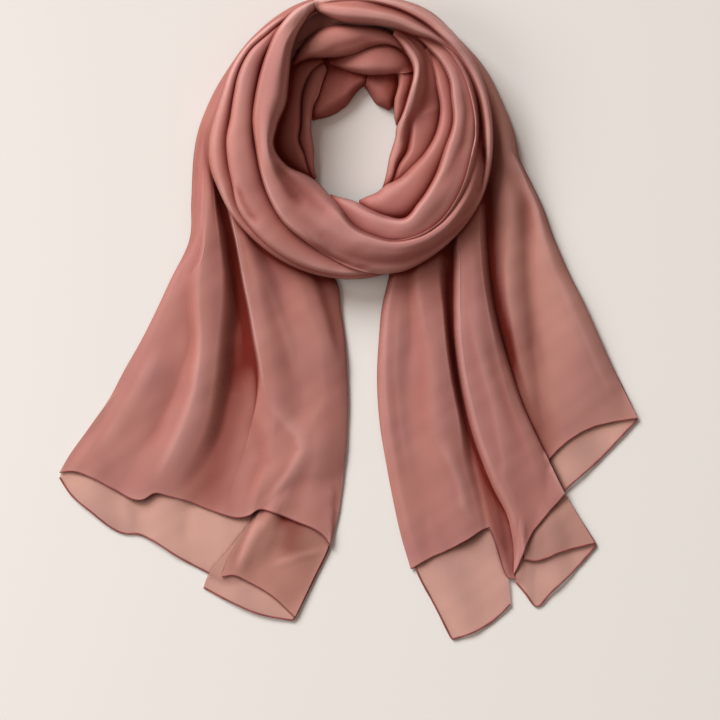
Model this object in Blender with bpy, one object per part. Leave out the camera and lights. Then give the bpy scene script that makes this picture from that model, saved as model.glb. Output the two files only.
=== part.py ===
"""A chiffon scarf wound twice into a ring, its two ends lying below it as tails on a flat surface.

Each stretch of cloth that shows is one named object: a closed wall of even thickness, lofted through
sections that are read across its folds. A core stands for the hidden turns. The stretches are laid down
in order, from the surface up, and each one is raised where it would touch what already lies there.

Plan coordinates are millimetres: x runs to the right and y runs from the ring towards the hems. Sections
of the ring are polar, about the ring's centre, with angles in degrees counter-clockwise from +x.
"""

from collections import namedtuple
import math

import bmesh
import bpy
import numpy as np

MM = 0.001
PLAN_ORIGIN = (347.5, 318.0)  # plan point above the middle of the whole scarf, mm
RING_CENTRE = (355.0, 140.0)  # plan point that the turns go round, mm
TURN_RADIUS = 145.0  # a tail's sections above the ring's middle are this far round it, mm
WALL = 1.6  # thickness of the cloth's wall, mm
STEEPEST = 3.2  # the wall's upright thickness is at most this many walls
LEVEL_LEAST = 0.01  # least upright share of a wall's normal that is divided by
CLOTH_ROUGHNESS = 0.75
SHARP_FROM = 50  # degrees between faces from which an edge is shaded sharp
LAY_GAP = 0.35  # a stretch lies this far above the one under it, mm
LEAST_STEP = 1.0  # neighbouring points across a section are at least this far apart, mm
ROUNDNESS = 2.0  # exponent of a fold's flank: 1 is straight, 2 is a quarter of an ellipse
RASTER = 1.0  # cell size of the pile's height map, mm
SAMPLE_STEP = 0.7  # spacing of the samples that fill and read the height map, mm
HEM_PASSES = 12  # times that a tail's columns are drawn out to its hem
PILE_MARGIN = 60  # height map beyond the plan's edge, mm
LAP_ROWS = 5  # sections of the front turn that its end can lie on
LEAST_LIFT = 0.05  # a stretch that is too low by less than this stays, mm
LIFT_PASSES = 60  # at most this many small lifts
EASING_PASSES = 2  # times that the lifts are evened out lengthwise
PILE_SIZE = 720  # side of the height map, mm

ROSE = (0.42, 0.155, 0.135)  # cloth in several layers, linear RGB
SHEER_ROSE = (0.52, 0.24, 0.20)  # one or two layers over the pale surface

# One section: where it lies (angle or y), then one place and one height for each lengthwise line.
Section = namedtuple("Section", "at places heights")

# One stretch: lines names its lengthwise lines in order, and those in hard are met steeply, as at a
# crease or a rolled edge. steps is the number of faces between two lines, rows the number lengthwise.
Stretch = namedtuple("Stretch", "name colour lines hard steps rows sections hem")


def ring_stretch(name, lines, hard, steps, rows, sections, colour=ROSE):
    """A stretch that runs round the ring: at is an angle, and places are radii."""
    return Stretch(name, colour, lines.split(), hard.split(), steps, rows, sections, None)


def tail_stretch(name, lines, hard, steps, rows, sections, hem, colour=SHEER_ROSE):
    """A stretch that runs down a tail: at is y, places are x, and hem is the outline of its lower end."""
    return Stretch(name, colour, lines.split(), hard.split(), steps, rows, sections, hem)


# The hidden turns: one rounded solid with a flat underside.
CORE = ring_stretch(
    "ring_core",
    "hole_foot inner_shoulder outer_shoulder outer_foot",
    "hole_foot outer_foot",
    2,
    36,
    [
        Section(0, (70, 88, 112, 125), (3, 15, 20, 3)),
        Section(45, (94, 105, 122, 134), (3, 15, 22, 3)),
        Section(90, (92, 104, 126, 136), (3, 14, 24, 3)),
        Section(135, (98, 106, 122, 134), (3, 24, 24, 3)),
        Section(180, (91, 99, 116, 130), (3, 28, 24, 3)),
        Section(225, (70, 84, 103, 113), (3, 26, 26, 3)),
        Section(250, (71, 85, 105, 118), (3, 24, 28, 3)),
        Section(270, (72, 86, 110, 126), (3, 22, 30, 3)),
        Section(290, (70, 84, 104, 117), (3, 20, 28, 3)),
        Section(315, (66, 80, 104, 115), (3, 16, 24, 3)),
        Section(360, (70, 88, 112, 125), (3, 15, 20, 3)),
    ],
)

# The tails, from the lowest layer up. Each tail is the scarf's width folded lengthwise, so a back layer
# shows below the front layer's hem.
LEFT_TAIL_BACK = tail_stretch(
    "left_tail_back",
    "fold wave_1 hollow_1 wave_2 hollow_2 inner",
    "fold inner",
    2,
    9,
    [
        Section(395, (114, 142, 172, 204, 238, 272), (0, 2, 0, 3, 0, 1)),
        Section(475, (60, 96, 138, 174, 216, 262), (0, 2, 0, 3, 0, 1)),
        Section(520, (54, 90, 132, 162, 204, 250), (0, 2, 0, 3, 0, 1)),
        Section(575, (50, 86, 128, 156, 188, 222), (0, 1, 0, 2, 0, 1)),
    ],
    [(57, 474), (69, 493), (88, 510), (125, 534), (137, 534), (149, 539), (176, 556), (222, 580)],
)
LEFT_PLEAT_BACK = tail_stretch(
    "left_pleat_back",
    "left middle ridge right",
    "left right",
    2,
    9,
    [
        Section(470, (268, 288, 310, 333), (0, 2, 3, 0)),
        Section(517, (254, 281, 306, 333), (0, 2, 3, 0)),
        Section(547, (231, 263, 296, 329), (0, 2, 3, 0)),
        Section(575, (208, 241, 279, 316), (0, 2, 3, 0)),
        Section(621, (201, 232, 262, 293), (0, 1, 1, 0)),
    ],
    [(202, 587), (224, 599), (258, 614), (293, 621)],
)
LEFT_PLEAT = tail_stretch(
    "left_pleat",
    "left ridge hollow right",
    "left right",
    2,
    9,
    [
        Section(465, (272, 288, 308, 331), (1, 6, 3, 1)),
        Section(517, (256, 270, 300, 331), (1, 8, 3, 1)),
        Section(547, (235, 252, 290, 328), (1, 7, 3, 1)),
        Section(575, (222, 240, 278, 315), (1, 5, 3, 1)),
        Section(617, (218, 236, 266, 295), (1, 2, 2, 1)),
    ],
    [(222, 577), (232, 575), (248, 582), (273, 597), (294, 617)],
)
LEFT_TAIL = tail_stretch(
    "left_tail",
    "outline side hollow_1 ridge_1 hollow_2 lip_foot lip middle ridge_2 inner_edge",
    "outline lip_foot inner_edge",
    2,
    27,
    [
        Section(
            -112, (216, 220, 223, 226, 229, 232, 235, 238, 241, 244),
            (1, 14, 16, 16, 16, 16, 16, 16, 16, 12),
        ),
        Section(
            -88, (211, 216, 220, 223, 226, 229, 232, 235, 239, 243),
            (1, 18, 22, 22, 22, 22, 22, 22, 22, 18),
        ),
        Section(
            -50, (207, 213, 217, 221, 225, 229, 233, 237, 241, 245),
            (1, 18, 22, 24, 24, 24, 24, 24, 24, 18),
        ),
        Section(
            -12, (208, 214, 218, 222, 226, 230, 234, 238, 242, 246),
            (1, 18, 22, 24, 24, 24, 24, 24, 24, 18),
        ),
        Section(
            26, (209, 215, 219, 223, 227, 231, 235, 239, 243, 247),
            (1, 18, 22, 24, 24, 24, 24, 24, 24, 18),
        ),
        Section(
            64, (209, 215, 219, 223, 227, 231, 235, 239, 243, 247),
            (1, 18, 22, 24, 24, 24, 24, 24, 24, 18),
        ),
        Section(
            102, (204, 210, 214, 218, 222, 227, 231, 236, 241, 247),
            (1, 19, 23, 24, 24, 24, 24, 24, 24, 18),
        ),
        Section(
            150, (194, 200, 204, 208, 213, 219, 223, 230, 238, 246),
            (1, 20, 24, 23, 18, 17, 23, 24, 24, 20),
        ),
        Section(
            200, (191, 197, 202, 207, 217, 225, 229, 236, 246, 258),
            (1, 18, 23, 22, 12, 9, 24, 22, 19, 10),
        ),
        Section(
            237, (190, 195, 199, 205, 225, 233, 236, 246, 262, 290),
            (1, 14, 18, 21, 8, 4, 23, 17, 14, 3),
        ),
        Section(
            280, (167, 179, 188, 199, 232, 242, 246, 262, 294, 336),
            (1, 12, 8, 21, 5, 3, 22, 11, 15, 1),
        ),
        Section(
            320, (150, 168, 184, 201, 234, 247, 252, 272, 308, 343),
            (1, 11, 6, 20, 4, 3, 20, 10, 15, 1),
        ),
        Section(
            360, (129, 150, 173, 199, 231, 254, 260, 282, 316, 347),
            (1, 10, 5, 18, 4, 4, 18, 11, 14, 1),
        ),
        Section(
            400, (108, 132, 158, 190, 224, 258, 266, 289, 319, 348),
            (1, 9, 5, 16, 4, 5, 15, 15, 12, 1),
        ),
        Section(
            440, (81, 110, 140, 175, 215, 250, 266, 300, 322, 347),
            (1, 8, 4, 13, 4, 6, 9, 16, 10, 1),
        ),
        Section(473, (56, 92, 126, 159, 208, 246, 262, 284, 318, 344), (1, 6, 3, 12, 3, 6, 7, 14, 9, 1)),
        Section(510, (50, 86, 120, 150, 200, 242, 254, 270, 311, 339), (1, 4, 3, 9, 3, 4, 6, 10, 8, 1)),
        Section(547, (46, 80, 115, 145, 195, 240, 252, 268, 306, 330), (1, 3, 3, 7, 3, 4, 6, 8, 6, 1)),
    ],
    [
        (57, 473), (70, 471), (90, 477), (113, 489), (137, 500), (151, 493),
        (190, 502), (210, 510), (246, 516), (256, 510), (275, 513), (316, 530), (330, 547),
    ],
)
RIGHT_OUTER_BACK = tail_stretch(
    "right_tail_outer_back",
    "hidden wave hollow fold",
    "hidden fold",
    2,
    9,
    [
        Section(330, (505, 530, 562, 594), (0, 2, 0, 0)),
        Section(418, (531, 562, 602, 637), (0, 2, 0, 0)),
        Section(500, (552, 584, 628, 672), (0, 1, 0, 0)),
    ],
    [(545, 508), (564, 491), (600, 459), (638, 419)],
)
RIGHT_OUTER = tail_stretch(
    "right_tail_outer",
    "hidden ridge_1 hollow ridge_2 outline",
    "hidden outline",
    2,
    26,
    [
        Section(-116, (474, 481, 487, 493, 499), (16, 20, 22, 18, 1)),
        Section(-88, (474, 482, 488, 494, 500), (16, 22, 24, 20, 1)),
        Section(-50, (475, 483, 490, 496, 502.5), (16, 22, 24, 20, 1)),
        Section(-12, (476, 484, 491, 498, 504.5), (16, 22, 24, 20, 1)),
        Section(26, (474, 482, 488, 494, 500.5), (16, 22, 24, 20, 1)),
        Section(64, (476, 484, 491, 497, 503.5), (15, 22, 24, 20, 1)),
        Section(102, (479, 488, 495, 501, 507), (13, 21, 24, 20, 1)),
        Section(140, (480, 495, 504, 510, 516), (8, 20, 23, 19, 1)),
        Section(160, (480, 497, 507, 513, 520), (6, 20, 21, 18, 1)),
        Section(180, (480, 499, 511, 520, 530), (4, 19, 15, 16, 1)),
        Section(203, (480, 502, 516, 528, 541), (3, 19, 9, 14, 1)),
        Section(260, (480, 506, 524, 545, 564), (2, 18, 5, 13, 1)),
        Section(314, (487, 511, 529, 558, 589), (2, 15, 4, 12, 1)),
        Section(370, (502, 523, 542, 580, 615), (2, 11, 4, 10, 1)),
        Section(418, (522, 541, 560, 602, 638), (2, 7, 4, 7, 1)),
        Section(462, (545, 560, 580, 625, 660), (2, 3, 3, 3, 1)),
    ],
    [(543, 466), (549, 459), (568, 441), (590, 428), (612, 422), (639, 418)],
)
RIGHT_INNER_BACK = tail_stretch(
    "right_tail_inner_back",
    "fold wave hollow edge",
    "fold edge",
    2,
    10,
    [
        Section(470, (394, 426, 462, 486), (0, 2, 0, 1)),
        Section(536, (406, 440, 474, 500), (0, 2, 0, 1)),
        Section(576, (419, 450, 480, 508), (0, 2, 0, 1)),
        Section(604, (434, 461, 487, 511), (0, 2, 0, 1)),
        Section(640, (452, 474, 496, 513), (0, 1, 0, 0)),
    ],
    [(452, 640), (475, 632), (498, 617), (511, 604)],
)
RIGHT_INNER = tail_stretch(
    "right_tail_inner",
    "outline side hollow ridge slope tucked",
    "outline tucked",
    2,
    16,
    [
        Section(228, (402, 409, 417, 426, 441, 457), (3, 12, 10, 12, 10, 6)),
        Section(250, (396, 403, 411, 422, 440, 456), (1, 13, 10, 15, 11, 5)),
        Section(280, (388, 396, 405, 420, 440, 456), (1, 14, 9, 18, 11, 4)),
        Section(337, (379, 388, 400, 424, 444, 458), (1, 13, 7, 17, 10, 3)),
        Section(375, (377, 387, 401, 428, 448, 462), (1, 12, 6, 16, 10, 3)),
        Section(426, (380, 391, 406, 438, 459, 474), (1, 10, 5, 14, 9, 3)),
        Section(490, (391, 403, 420, 456, 478, 495), (1, 8, 4, 11, 7, 3)),
        Section(536, (401, 415, 434, 472, 492, 503), (1, 6, 4, 8, 6, 3)),
        Section(570, (411, 426, 446, 484, 500, 508), (1, 4, 4, 6, 4, 3)),
    ],
    [(411, 569), (430, 558), (450, 549), (470, 538), (488, 528), (497, 530)],
)
RIGHT_MIDDLE_BACK = tail_stretch(
    "right_tail_middle_back",
    "left wave_1 corner wave_2 hollow fold",
    "left fold",
    2,
    9,
    [
        Section(470, (486, 498, 510, 524, 538, 551), (0, 2, 0, 2, 0, 0)),
        Section(520, (500, 515, 530, 547, 564, 580), (0, 2, 0, 2, 0, 0)),
        Section(545, (508, 520, 534, 554, 576, 596), (0, 2, 0, 2, 0, 0)),
        Section(575, (514, 523, 536, 560, 586, 610), (0, 2, 0, 1, 0, 0)),
        Section(607, (518, 526, 537, 562, 590, 620), (0, 1, 0, 1, 0, 0)),
    ],
    [(514, 580), (526, 594), (536, 607), (550, 594), (574, 571), (598, 544)],
)
RIGHT_MIDDLE_FLAP = tail_stretch(
    "right_tail_middle_flap",
    "hidden wave hollow fold",
    "hidden fold",
    2,
    8,
    [
        Section(455, (500, 512, 528, 545), (1, 3, 1, 0)),
        Section(500, (516, 530, 550, 569), (1, 3, 1, 0)),
        Section(545, (523, 543, 570, 596), (1, 3, 1, 0)),
        Section(562, (525, 546, 574, 606), (1, 2, 1, 0)),
    ],
    [(521, 558), (533, 561), (564, 551), (596, 543)],
)
RIGHT_MIDDLE = tail_stretch(
    "right_tail_middle",
    "lip_foot lip middle slope outline",
    "lip_foot outline",
    2,
    20,
    [
        Section(168, (462, 466, 473, 480, 485), (6, 14, 16, 13, 2)),
        Section(200, (458, 463, 471, 479, 485), (4, 16, 18, 15, 2)),
        Section(230, (453, 458, 468, 478, 485), (3, 18, 19, 16, 2)),
        Section(260, (452, 458, 469, 480, 487), (2, 20, 20, 16, 2)),
        Section(336, (453, 460, 475, 491, 503), (2, 19, 18, 14, 2)),
        Section(403, (461, 469, 487, 507, 523), (2, 17, 14, 11, 2)),
        Section(459, (476, 485, 505, 528, 549), (2, 14, 11, 9, 2)),
        Section(490, (486, 496, 518, 542, 563), (2, 12, 10, 7, 2)),
        Section(541, (502, 512, 532, 560, 590), (2, 7, 6, 5, 2)),
        Section(579, (512, 520, 545, 575, 605), (2, 4, 4, 3, 2)),
    ],
    [(512, 577), (520, 560), (526, 543), (544, 518), (565, 494)],
)

# Layers that show inside the hole, low down.
HOLE_BACK_LEFT = ring_stretch(
    "hole_back_left",
    "edge crest hidden",
    "edge hidden",
    2,
    14,
    [
        Section(74, (61, 64, 80), (0, 5, 2)),
        Section(83, (57, 62, 84), (0, 7, 2)),
        Section(90, (50, 58, 90), (0, 8, 2)),
        Section(100, (40, 51, 95), (0, 9, 2)),
        Section(115, (34, 45, 97), (0, 10, 2)),
        Section(130, (34, 44, 84), (0, 10, 2)),
        Section(143, (38, 45, 72), (0, 9, 2)),
        Section(154, (46, 50, 60), (0, 6, 2)),
    ],
)
HOLE_BACK_RIGHT = ring_stretch(
    "hole_back_right",
    "edge crest hidden",
    "edge hidden",
    2,
    9,
    [
        Section(42, (45, 49, 58), (0, 4, 2)),
        Section(50, (43.5, 50, 76), (0, 7, 2)),
        Section(60, (44, 54, 97), (0, 9, 3)),
        Section(70, (50, 59, 97), (0, 8, 3)),
        Section(79, (57.5, 63, 94), (0, 6, 3)),
    ],
)
INNER_LEFT = ring_stretch(
    "inner_left",
    "hole_edge low_crest groove high_crest hidden",
    "hole_edge groove hidden",
    2,
    17,
    [
        Section(112, (76, 80, 84, 88, 96), (6, 14, 9, 14, 8)),
        Section(120, (66.5, 74, 82, 88, 98), (4, 17, 8, 17, 8)),
        Section(130, (58, 67, 76, 84, 100), (2, 19, 7, 19, 6)),
        Section(140, (54.5, 61, 69, 79, 99), (1, 20, 7, 21, 5)),
        Section(152, (49.5, 55, 61, 71, 96), (1, 20, 7, 23, 4)),
        Section(165, (46, 51, 56.5, 65, 94), (1, 19, 7, 24, 4)),
        Section(180, (43, 49, 56.5, 63, 93), (1, 18, 7, 24, 4)),
        Section(195, (43, 48, 53, 60, 88), (1, 15, 7, 21, 5)),
        Section(210, (48, 51, 55, 60, 79), (1, 12, 8, 16, 6)),
        Section(224, (54, 56, 58.5, 62, 72), (1, 8, 7, 9, 5)),
    ],
)
INNER_TOP_LOW = ring_stretch(
    "inner_top_low",
    "lower_edge crest hidden",
    "lower_edge hidden",
    3,
    12,
    [
        Section(49.5, (90, 93, 98), (8, 14, 8)),
        Section(53, (84, 90, 100), (8, 20, 8)),
        Section(57, (80, 89, 102), (8, 24, 8)),
        Section(62, (75, 86, 103), (7, 27, 8)),
        Section(70, (70, 83, 104), (7, 29, 8)),
        Section(80, (67, 79, 100), (7, 29, 6)),
        Section(90, (68, 77, 96), (7, 28, 6)),
        Section(98, (71.5, 77, 94), (7, 24, 6)),
        Section(104, (77, 80, 91), (7, 18, 6)),
        Section(108, (81, 83, 88), (7, 12, 6)),
    ],
)
INNER_TOP = ring_stretch(
    "inner_top",
    "lower_edge crest upper_edge",
    "lower_edge upper_edge",
    3,
    14,
    [
        Section(57, (99, 102, 106), (15, 20, 18)),
        Section(63, (101.5, 105, 110), (15, 26, 18)),
        Section(70, (101.5, 106, 113), (15, 31, 18)),
        Section(80, (95, 105, 115), (15, 36, 18)),
        Section(90, (87, 103, 116), (14, 39, 18)),
        Section(100, (85, 102, 116), (14, 40, 18)),
        Section(110, (88, 102, 115), (14, 39, 16)),
        Section(120, (94, 101, 108), (12, 34, 12)),
        Section(126, (96, 99.5, 103), (10, 24, 10)),
        Section(129, (96.5, 98, 100), (8, 16, 8)),
    ],
)
INNER_RIGHT_LOW = ring_stretch(
    "inner_right_low",
    "hole_edge crest hidden",
    "hole_edge hidden",
    2,
    10,
    [
        Section(20, (44, 46.5, 54), (0, 6, 3)),
        Section(30, (46, 53, 66), (0, 14, 4)),
        Section(40, (51.5, 60, 82), (2, 18, 6)),
        Section(46, (58, 69, 93), (4, 20, 6)),
        Section(52, (71, 80, 99), (5, 20, 6)),
        Section(58, (80, 87, 100), (5, 18, 5)),
        Section(62, (84, 89, 99), (5, 12, 4)),
    ],
)
INNER_RIGHT = ring_stretch(
    "inner_right",
    "hole_edge crest valley ridge hidden",
    "hole_edge hidden",
    2,
    20,
    [
        Section(-60, (55, 58, 61, 64, 67), (1, 8, 8, 8, 6)),
        Section(-48, (47, 52, 56, 60, 66), (1, 12, 10, 13, 8)),
        Section(-30, (39.5, 45, 50, 55, 70), (1, 16, 11, 19, 9)),
        Section(-10, (38.5, 45, 53, 59, 82), (1, 19, 13, 23, 8)),
        Section(5, (41, 46, 55, 61, 88), (1, 22, 17, 25, 8)),
        Section(18, (44.5, 49.5, 58, 66, 96), (2, 27, 23, 26, 8)),
        Section(28, (53, 58, 66, 74, 103), (8, 34, 30, 28, 9)),
        Section(40, (67, 72.5, 80, 88, 110), (12, 40, 35, 31, 12)),
        Section(50, (88, 93, 98, 103, 117), (16, 42, 38, 34, 18)),
        Section(60, (102, 106, 109, 112, 121), (20, 40, 38, 36, 22)),
        Section(70, (112, 114, 116, 118, 121), (24, 32, 32, 32, 24)),
    ],
)

# The turns that go round, from the inside out and from below upwards.
LOOP_THIN = ring_stretch(
    "loop_thin",
    "inner_edge crest hidden",
    "inner_edge hidden",
    3,
    24,
    [
        Section(-86, (60.5, 64, 70), (5, 14, 10)),
        Section(-78, (58, 68, 79), (5, 25, 14)),
        Section(-68, (57, 70, 88), (5, 30, 16)),
        Section(-55, (55, 69, 96), (7, 33, 18)),
        Section(-42, (58.5, 69, 96), (10, 35, 18)),
        Section(-25, (63, 72, 95), (12, 36, 18)),
        Section(-10, (71, 79, 96), (14, 36, 20)),
        Section(5, (79, 85.5, 101), (15, 36, 20)),
        Section(20, (88, 94, 110), (16, 36, 20)),
        Section(33, (97, 102.5, 117), (17, 36, 22)),
        Section(43, (107, 111, 120), (18, 34, 22)),
        Section(52, (114, 116.5, 121), (18, 28, 22)),
    ],
)
LOOP_MIDDLE = ring_stretch(
    "loop_middle",
    "inner_edge crest shoulder outer_crease",
    "inner_edge outer_crease",
    2,
    30,
    [
        Section(-114, (59.5, 62, 65, 69), (10, 16, 16, 12)),
        Section(-103, (59.5, 65, 72, 81), (10, 30, 30, 16)),
        Section(-90, (61.5, 72, 82, 95), (8, 38, 38, 18)),
        Section(-78, (71, 81, 92, 106), (12, 44, 43, 20)),
        Section(-68, (82, 91, 101, 114), (18, 47, 46, 20)),
        Section(-59, (92, 98, 107, 120), (22, 50, 48, 20)),
        Section(-45, (89.5, 95, 107, 123), (22, 51, 48, 20)),
        Section(-25, (88, 94, 106, 122), (22, 52, 49, 20)),
        Section(-5, (90, 96, 107, 122), (22, 52, 49, 20)),
        Section(10, (97, 102, 111, 125), (22, 51, 48, 20)),
        Section(25, (106, 110, 117, 130), (22, 49, 46, 22)),
        Section(40, (114, 118, 123.5, 133), (22, 45, 43, 24)),
        Section(50, (117, 120.5, 125, 132), (22, 41, 40, 26)),
        Section(57, (119, 121.5, 124.5, 129), (22, 36, 36, 26)),
        Section(64, (119, 120.5, 122.5, 126), (22, 28, 28, 24)),
    ],
)
FRONT_OUTER = ring_stretch(
    "front_loop_outer",
    "hidden broad_crest groove side_crest rim",
    "hidden groove rim",
    2,
    31,
    [
        Section(113, (131, 133.5, 136, 138.5, 141), (24, 28, 27, 28, 24)),
        Section(122, (128, 132.5, 136.5, 140, 143), (28, 42, 35, 38, 22)),
        Section(130, (124, 131.5, 135.5, 139.5, 143), (28, 50, 38, 42, 20)),
        Section(140, (116, 130, 136.5, 140, 143.5), (30, 54, 38, 43, 19)),
        Section(150, (108, 127, 133.5, 138, 142.5), (32, 56, 37, 44, 18)),
        Section(160, (103, 122, 129.5, 135, 140.5), (32, 57, 36, 45, 18)),
        Section(170, (99, 119, 127.5, 134, 142), (32, 57, 36, 45, 17)),
        Section(180, (97, 118, 129.5, 137, 145.5), (32, 57, 36, 44, 16)),
        Section(190, (95, 118, 130, 138, 147), (32, 57, 37, 43, 15)),
        Section(200, (95, 118, 131, 138.5, 145), (32, 56, 39, 42, 14)),
        Section(210, (96, 120, 135, 140, 144), (32, 54, 38, 38, 12)),
        Section(222, (99, 122, 136, 139.5, 142), (32, 51, 37, 35, 13)),
        Section(240, (102, 126, 136, 138.5, 140.5), (30, 46, 33, 30, 12)),
        Section(258, (111, 130, 135.5, 137.5, 139.3), (26, 40, 28, 24, 12)),
        Section(272, (119, 131, 134.5, 136.5, 138.3), (22, 33, 25, 22, 12)),
        Section(283, (123, 130, 132.5, 134.5, 136.5), (18, 24, 20, 17, 10)),
        Section(294, (122, 126, 128, 130, 132), (14, 16, 14, 12, 8)),
    ],
)
FRONT_TURN = ring_stretch(
    "front_turn",
    "inner_edge main_crest middle side_crest rim",
    "inner_edge rim",
    2,
    50,
    [
        Section(90, (128, 131, 134, 137, 140), (8, 12, 14, 12, 8)),
        Section(98, (131, 134, 137, 140, 143), (10, 16, 18, 18, 14)),
        Section(102.5, (133, 135.5, 138, 140.8, 143.4), (14, 22, 24, 24, 18)),
        Section(106, (134, 136.5, 139, 141.4, 143.8), (16, 34, 38, 38, 30)),
        Section(109.5, (132.5, 135, 137.6, 140.6, 143.6), (16, 44, 49, 50, 36)),
        Section(113, (127.5, 130.5, 134, 138.4, 142.8), (16, 50, 54, 55, 38)),
        Section(118, (120.5, 124.5, 129, 134.5, 140), (14, 54, 58, 60, 38)),
        Section(125, (109, 114.5, 121, 128, 135.5), (12, 56, 62, 64, 40)),
        Section(135, (93.5, 102, 111, 119.5, 126), (12, 56, 63, 66, 42)),
        Section(150, (80, 91, 100, 109, 114.5), (12, 56, 63, 67, 44)),
        Section(170, (81, 87.5, 93.5, 99.5, 106), (12, 54, 63, 67, 44)),
        Section(185, (82, 87.5, 92, 96.5, 102), (12, 53, 63, 67, 44)),
        Section(200, (72, 84, 90.5, 96.5, 101), (9, 51, 60, 65, 44)),
        Section(215, (60.5, 80, 89.5, 98, 103), (5, 48, 57, 63, 42)),
        Section(230, (57, 78, 92, 104, 109), (4, 46, 54, 60, 40)),
        Section(245, (61, 79, 94, 107, 113), (7, 47, 51, 55, 36)),
        Section(258, (70, 84, 98, 110, 120), (12, 49, 50, 50, 30)),
        Section(270, (87, 96, 106, 116, 129), (16, 50, 50, 48, 22)),
        Section(281, (98, 105, 114, 122, 136), (18, 51, 50, 47, 15)),
        Section(290, (107, 113, 120, 127, 139.5), (18, 52, 51, 46, 12)),
        Section(302, (114, 119.5, 125, 131, 139.2), (18, 52, 50, 44, 12)),
        Section(316, (118, 123.5, 129, 134, 139), (18, 53, 48, 38, 12)),
        Section(328, (117.7, 124, 132.5, 136.2, 139.2), (18, 53, 40, 34, 12)),
        Section(338, (117.2, 123.5, 134.6, 136.6, 139), (18, 52, 36, 37, 12)),
        Section(348, (117, 122, 132.4, 135.2, 138.4), (18, 49, 37, 43, 12)),
        Section(355, (118, 121.5, 129.4, 134.2, 138), (18, 44, 38, 48, 12)),
        Section(361, (120, 123.4, 128.4, 133.8, 138), (18, 37, 41, 50, 12)),
        Section(368, (121.4, 125, 129.2, 134, 138.4), (18, 36, 43, 52, 12)),
        Section(380, (123.5, 127.2, 131.2, 135.4, 140), (18, 40, 46, 53, 12)),
        Section(395, (127.5, 130.3, 133, 136.5, 143), (20, 42, 46, 52, 11)),
        Section(405, (128.5, 131, 133.4, 137, 145), (20, 44, 44, 50, 9)),
        Section(412, (126, 129.5, 132.8, 137, 146.3), (20, 50, 44, 50, 8)),
        Section(420, (120.5, 127, 134, 138, 146.8), (18, 55, 45, 50, 8)),
        Section(430, (118, 126.5, 136, 139, 146), (16, 58, 47, 50, 8)),
        Section(440, (116, 126, 136.8, 140, 144.5), (16, 60, 48, 51, 10)),
        Section(448, (115, 127, 138, 141, 144.2), (16, 59, 49, 51, 12)),
        Section(455, (117.5, 129, 138.6, 141.4, 144), (20, 55, 47, 49, 14)),
        Section(460, (122.5, 132, 139, 141.6, 144), (26, 49, 44, 46, 18)),
        Section(464, (129, 134.6, 139.2, 141.7, 144.2), (30, 42, 40, 40, 22)),
        Section(466.5, (133.5, 136.4, 139.2, 141.8, 144.4), (30, 34, 34, 34, 24)),
    ],
)

# Laid down in this order: each lies on those before it.
LAID_IN_ORDER = [
    LEFT_TAIL_BACK, LEFT_PLEAT_BACK, LEFT_PLEAT, LEFT_TAIL,
    RIGHT_OUTER_BACK, RIGHT_OUTER, RIGHT_INNER_BACK, RIGHT_INNER,
    RIGHT_MIDDLE_BACK, RIGHT_MIDDLE_FLAP, RIGHT_MIDDLE,
    HOLE_BACK_LEFT, HOLE_BACK_RIGHT, INNER_LEFT, INNER_RIGHT_LOW, INNER_TOP_LOW, INNER_TOP,
    INNER_RIGHT, LOOP_THIN, LOOP_MIDDLE, FRONT_OUTER, FRONT_TURN,
]


def smooth_between(at, values, query):
    """Values along a smooth curve through the table's entries (cubic, with slopes from the neighbours)."""
    at = np.asarray(at, float)
    values = np.asarray(values, float)
    slopes = np.gradient(values, at)
    k = np.clip(np.searchsorted(at, query) - 1, 0, len(at) - 2)
    span = at[k + 1] - at[k]
    t = np.clip((query - at[k]) / span, 0, 1)
    rest = 1 - t
    start = (1 + 2 * t) * rest**2 * values[k] + t * rest**2 * span * slopes[k]
    end = t**2 * (3 - 2 * t) * values[k + 1] - t**2 * rest * span * slopes[k + 1]
    return start + end


def flank(t):
    """Rise of a fold from its crease, at 0, to its crest, at 1."""
    return (1 - (1 - t) ** ROUNDNESS) ** (1 / ROUNDNESS)


def across_lines(stretch):
    """For each point across a section: the line before it, and its share of the way to the next line."""
    points = []
    for gap, (first, second) in enumerate(zip(stretch.lines, stretch.lines[1:])):
        hard_first = first in stretch.hard
        hard_second = second in stretch.hard
        for step in range(stretch.steps):
            t = step / stretch.steps
            if hard_first and not hard_second:
                t = 1 - math.cos(t * math.pi / 2)
                rise = flank(t)
            elif hard_second and not hard_first:
                t = math.sin(t * math.pi / 2)
                rise = 1 - flank(1 - t)
            elif hard_first:
                rise = t
            else:
                rise = t * t * (3 - 2 * t)
            points.append((gap, t, rise))
    points.append((len(stretch.lines) - 2, 1.0, 1.0))
    return points


def spaced(places):
    """Places across each section, pushed on where a neighbour comes nearer than the least step."""
    for column in range(1, places.shape[1]):
        places[:, column] = np.maximum(places[:, column], places[:, column - 1] + LEAST_STEP)
    return places


def read_sections(stretch, at):
    """Place and height of every point across the sections; at has one entry for each row and column."""
    known = [section.at for section in stretch.sections]
    places = np.array([section.places for section in stretch.sections], float)
    heights = np.array([section.heights for section in stretch.sections], float)
    place = np.empty(at.shape)
    height = np.empty(at.shape)
    for column, (gap, t, rise) in enumerate(across_lines(stretch)):
        here = at[:, column]
        before, after = (smooth_between(known, places[:, gap + i], here) for i in (0, 1))
        place[:, column] = before + t * (after - before)
        before, after = (smooth_between(known, heights[:, gap + i], here) for i in (0, 1))
        height[:, column] = before + rise * (after - before)
    return spaced(place), height


def ring_grid(stretch):
    """x, y and underside height of a stretch's points, one row for each angle."""
    columns = len(across_lines(stretch))
    angles = np.linspace(stretch.sections[0].at, stretch.sections[-1].at, stretch.rows + 1)
    at = np.repeat(angles[:, None], columns, axis=1)
    radius, height = read_sections(stretch, at)
    x = RING_CENTRE[0] + radius * np.cos(np.radians(at))
    y = RING_CENTRE[1] - radius * np.sin(np.radians(at))
    return x, y, height


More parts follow.
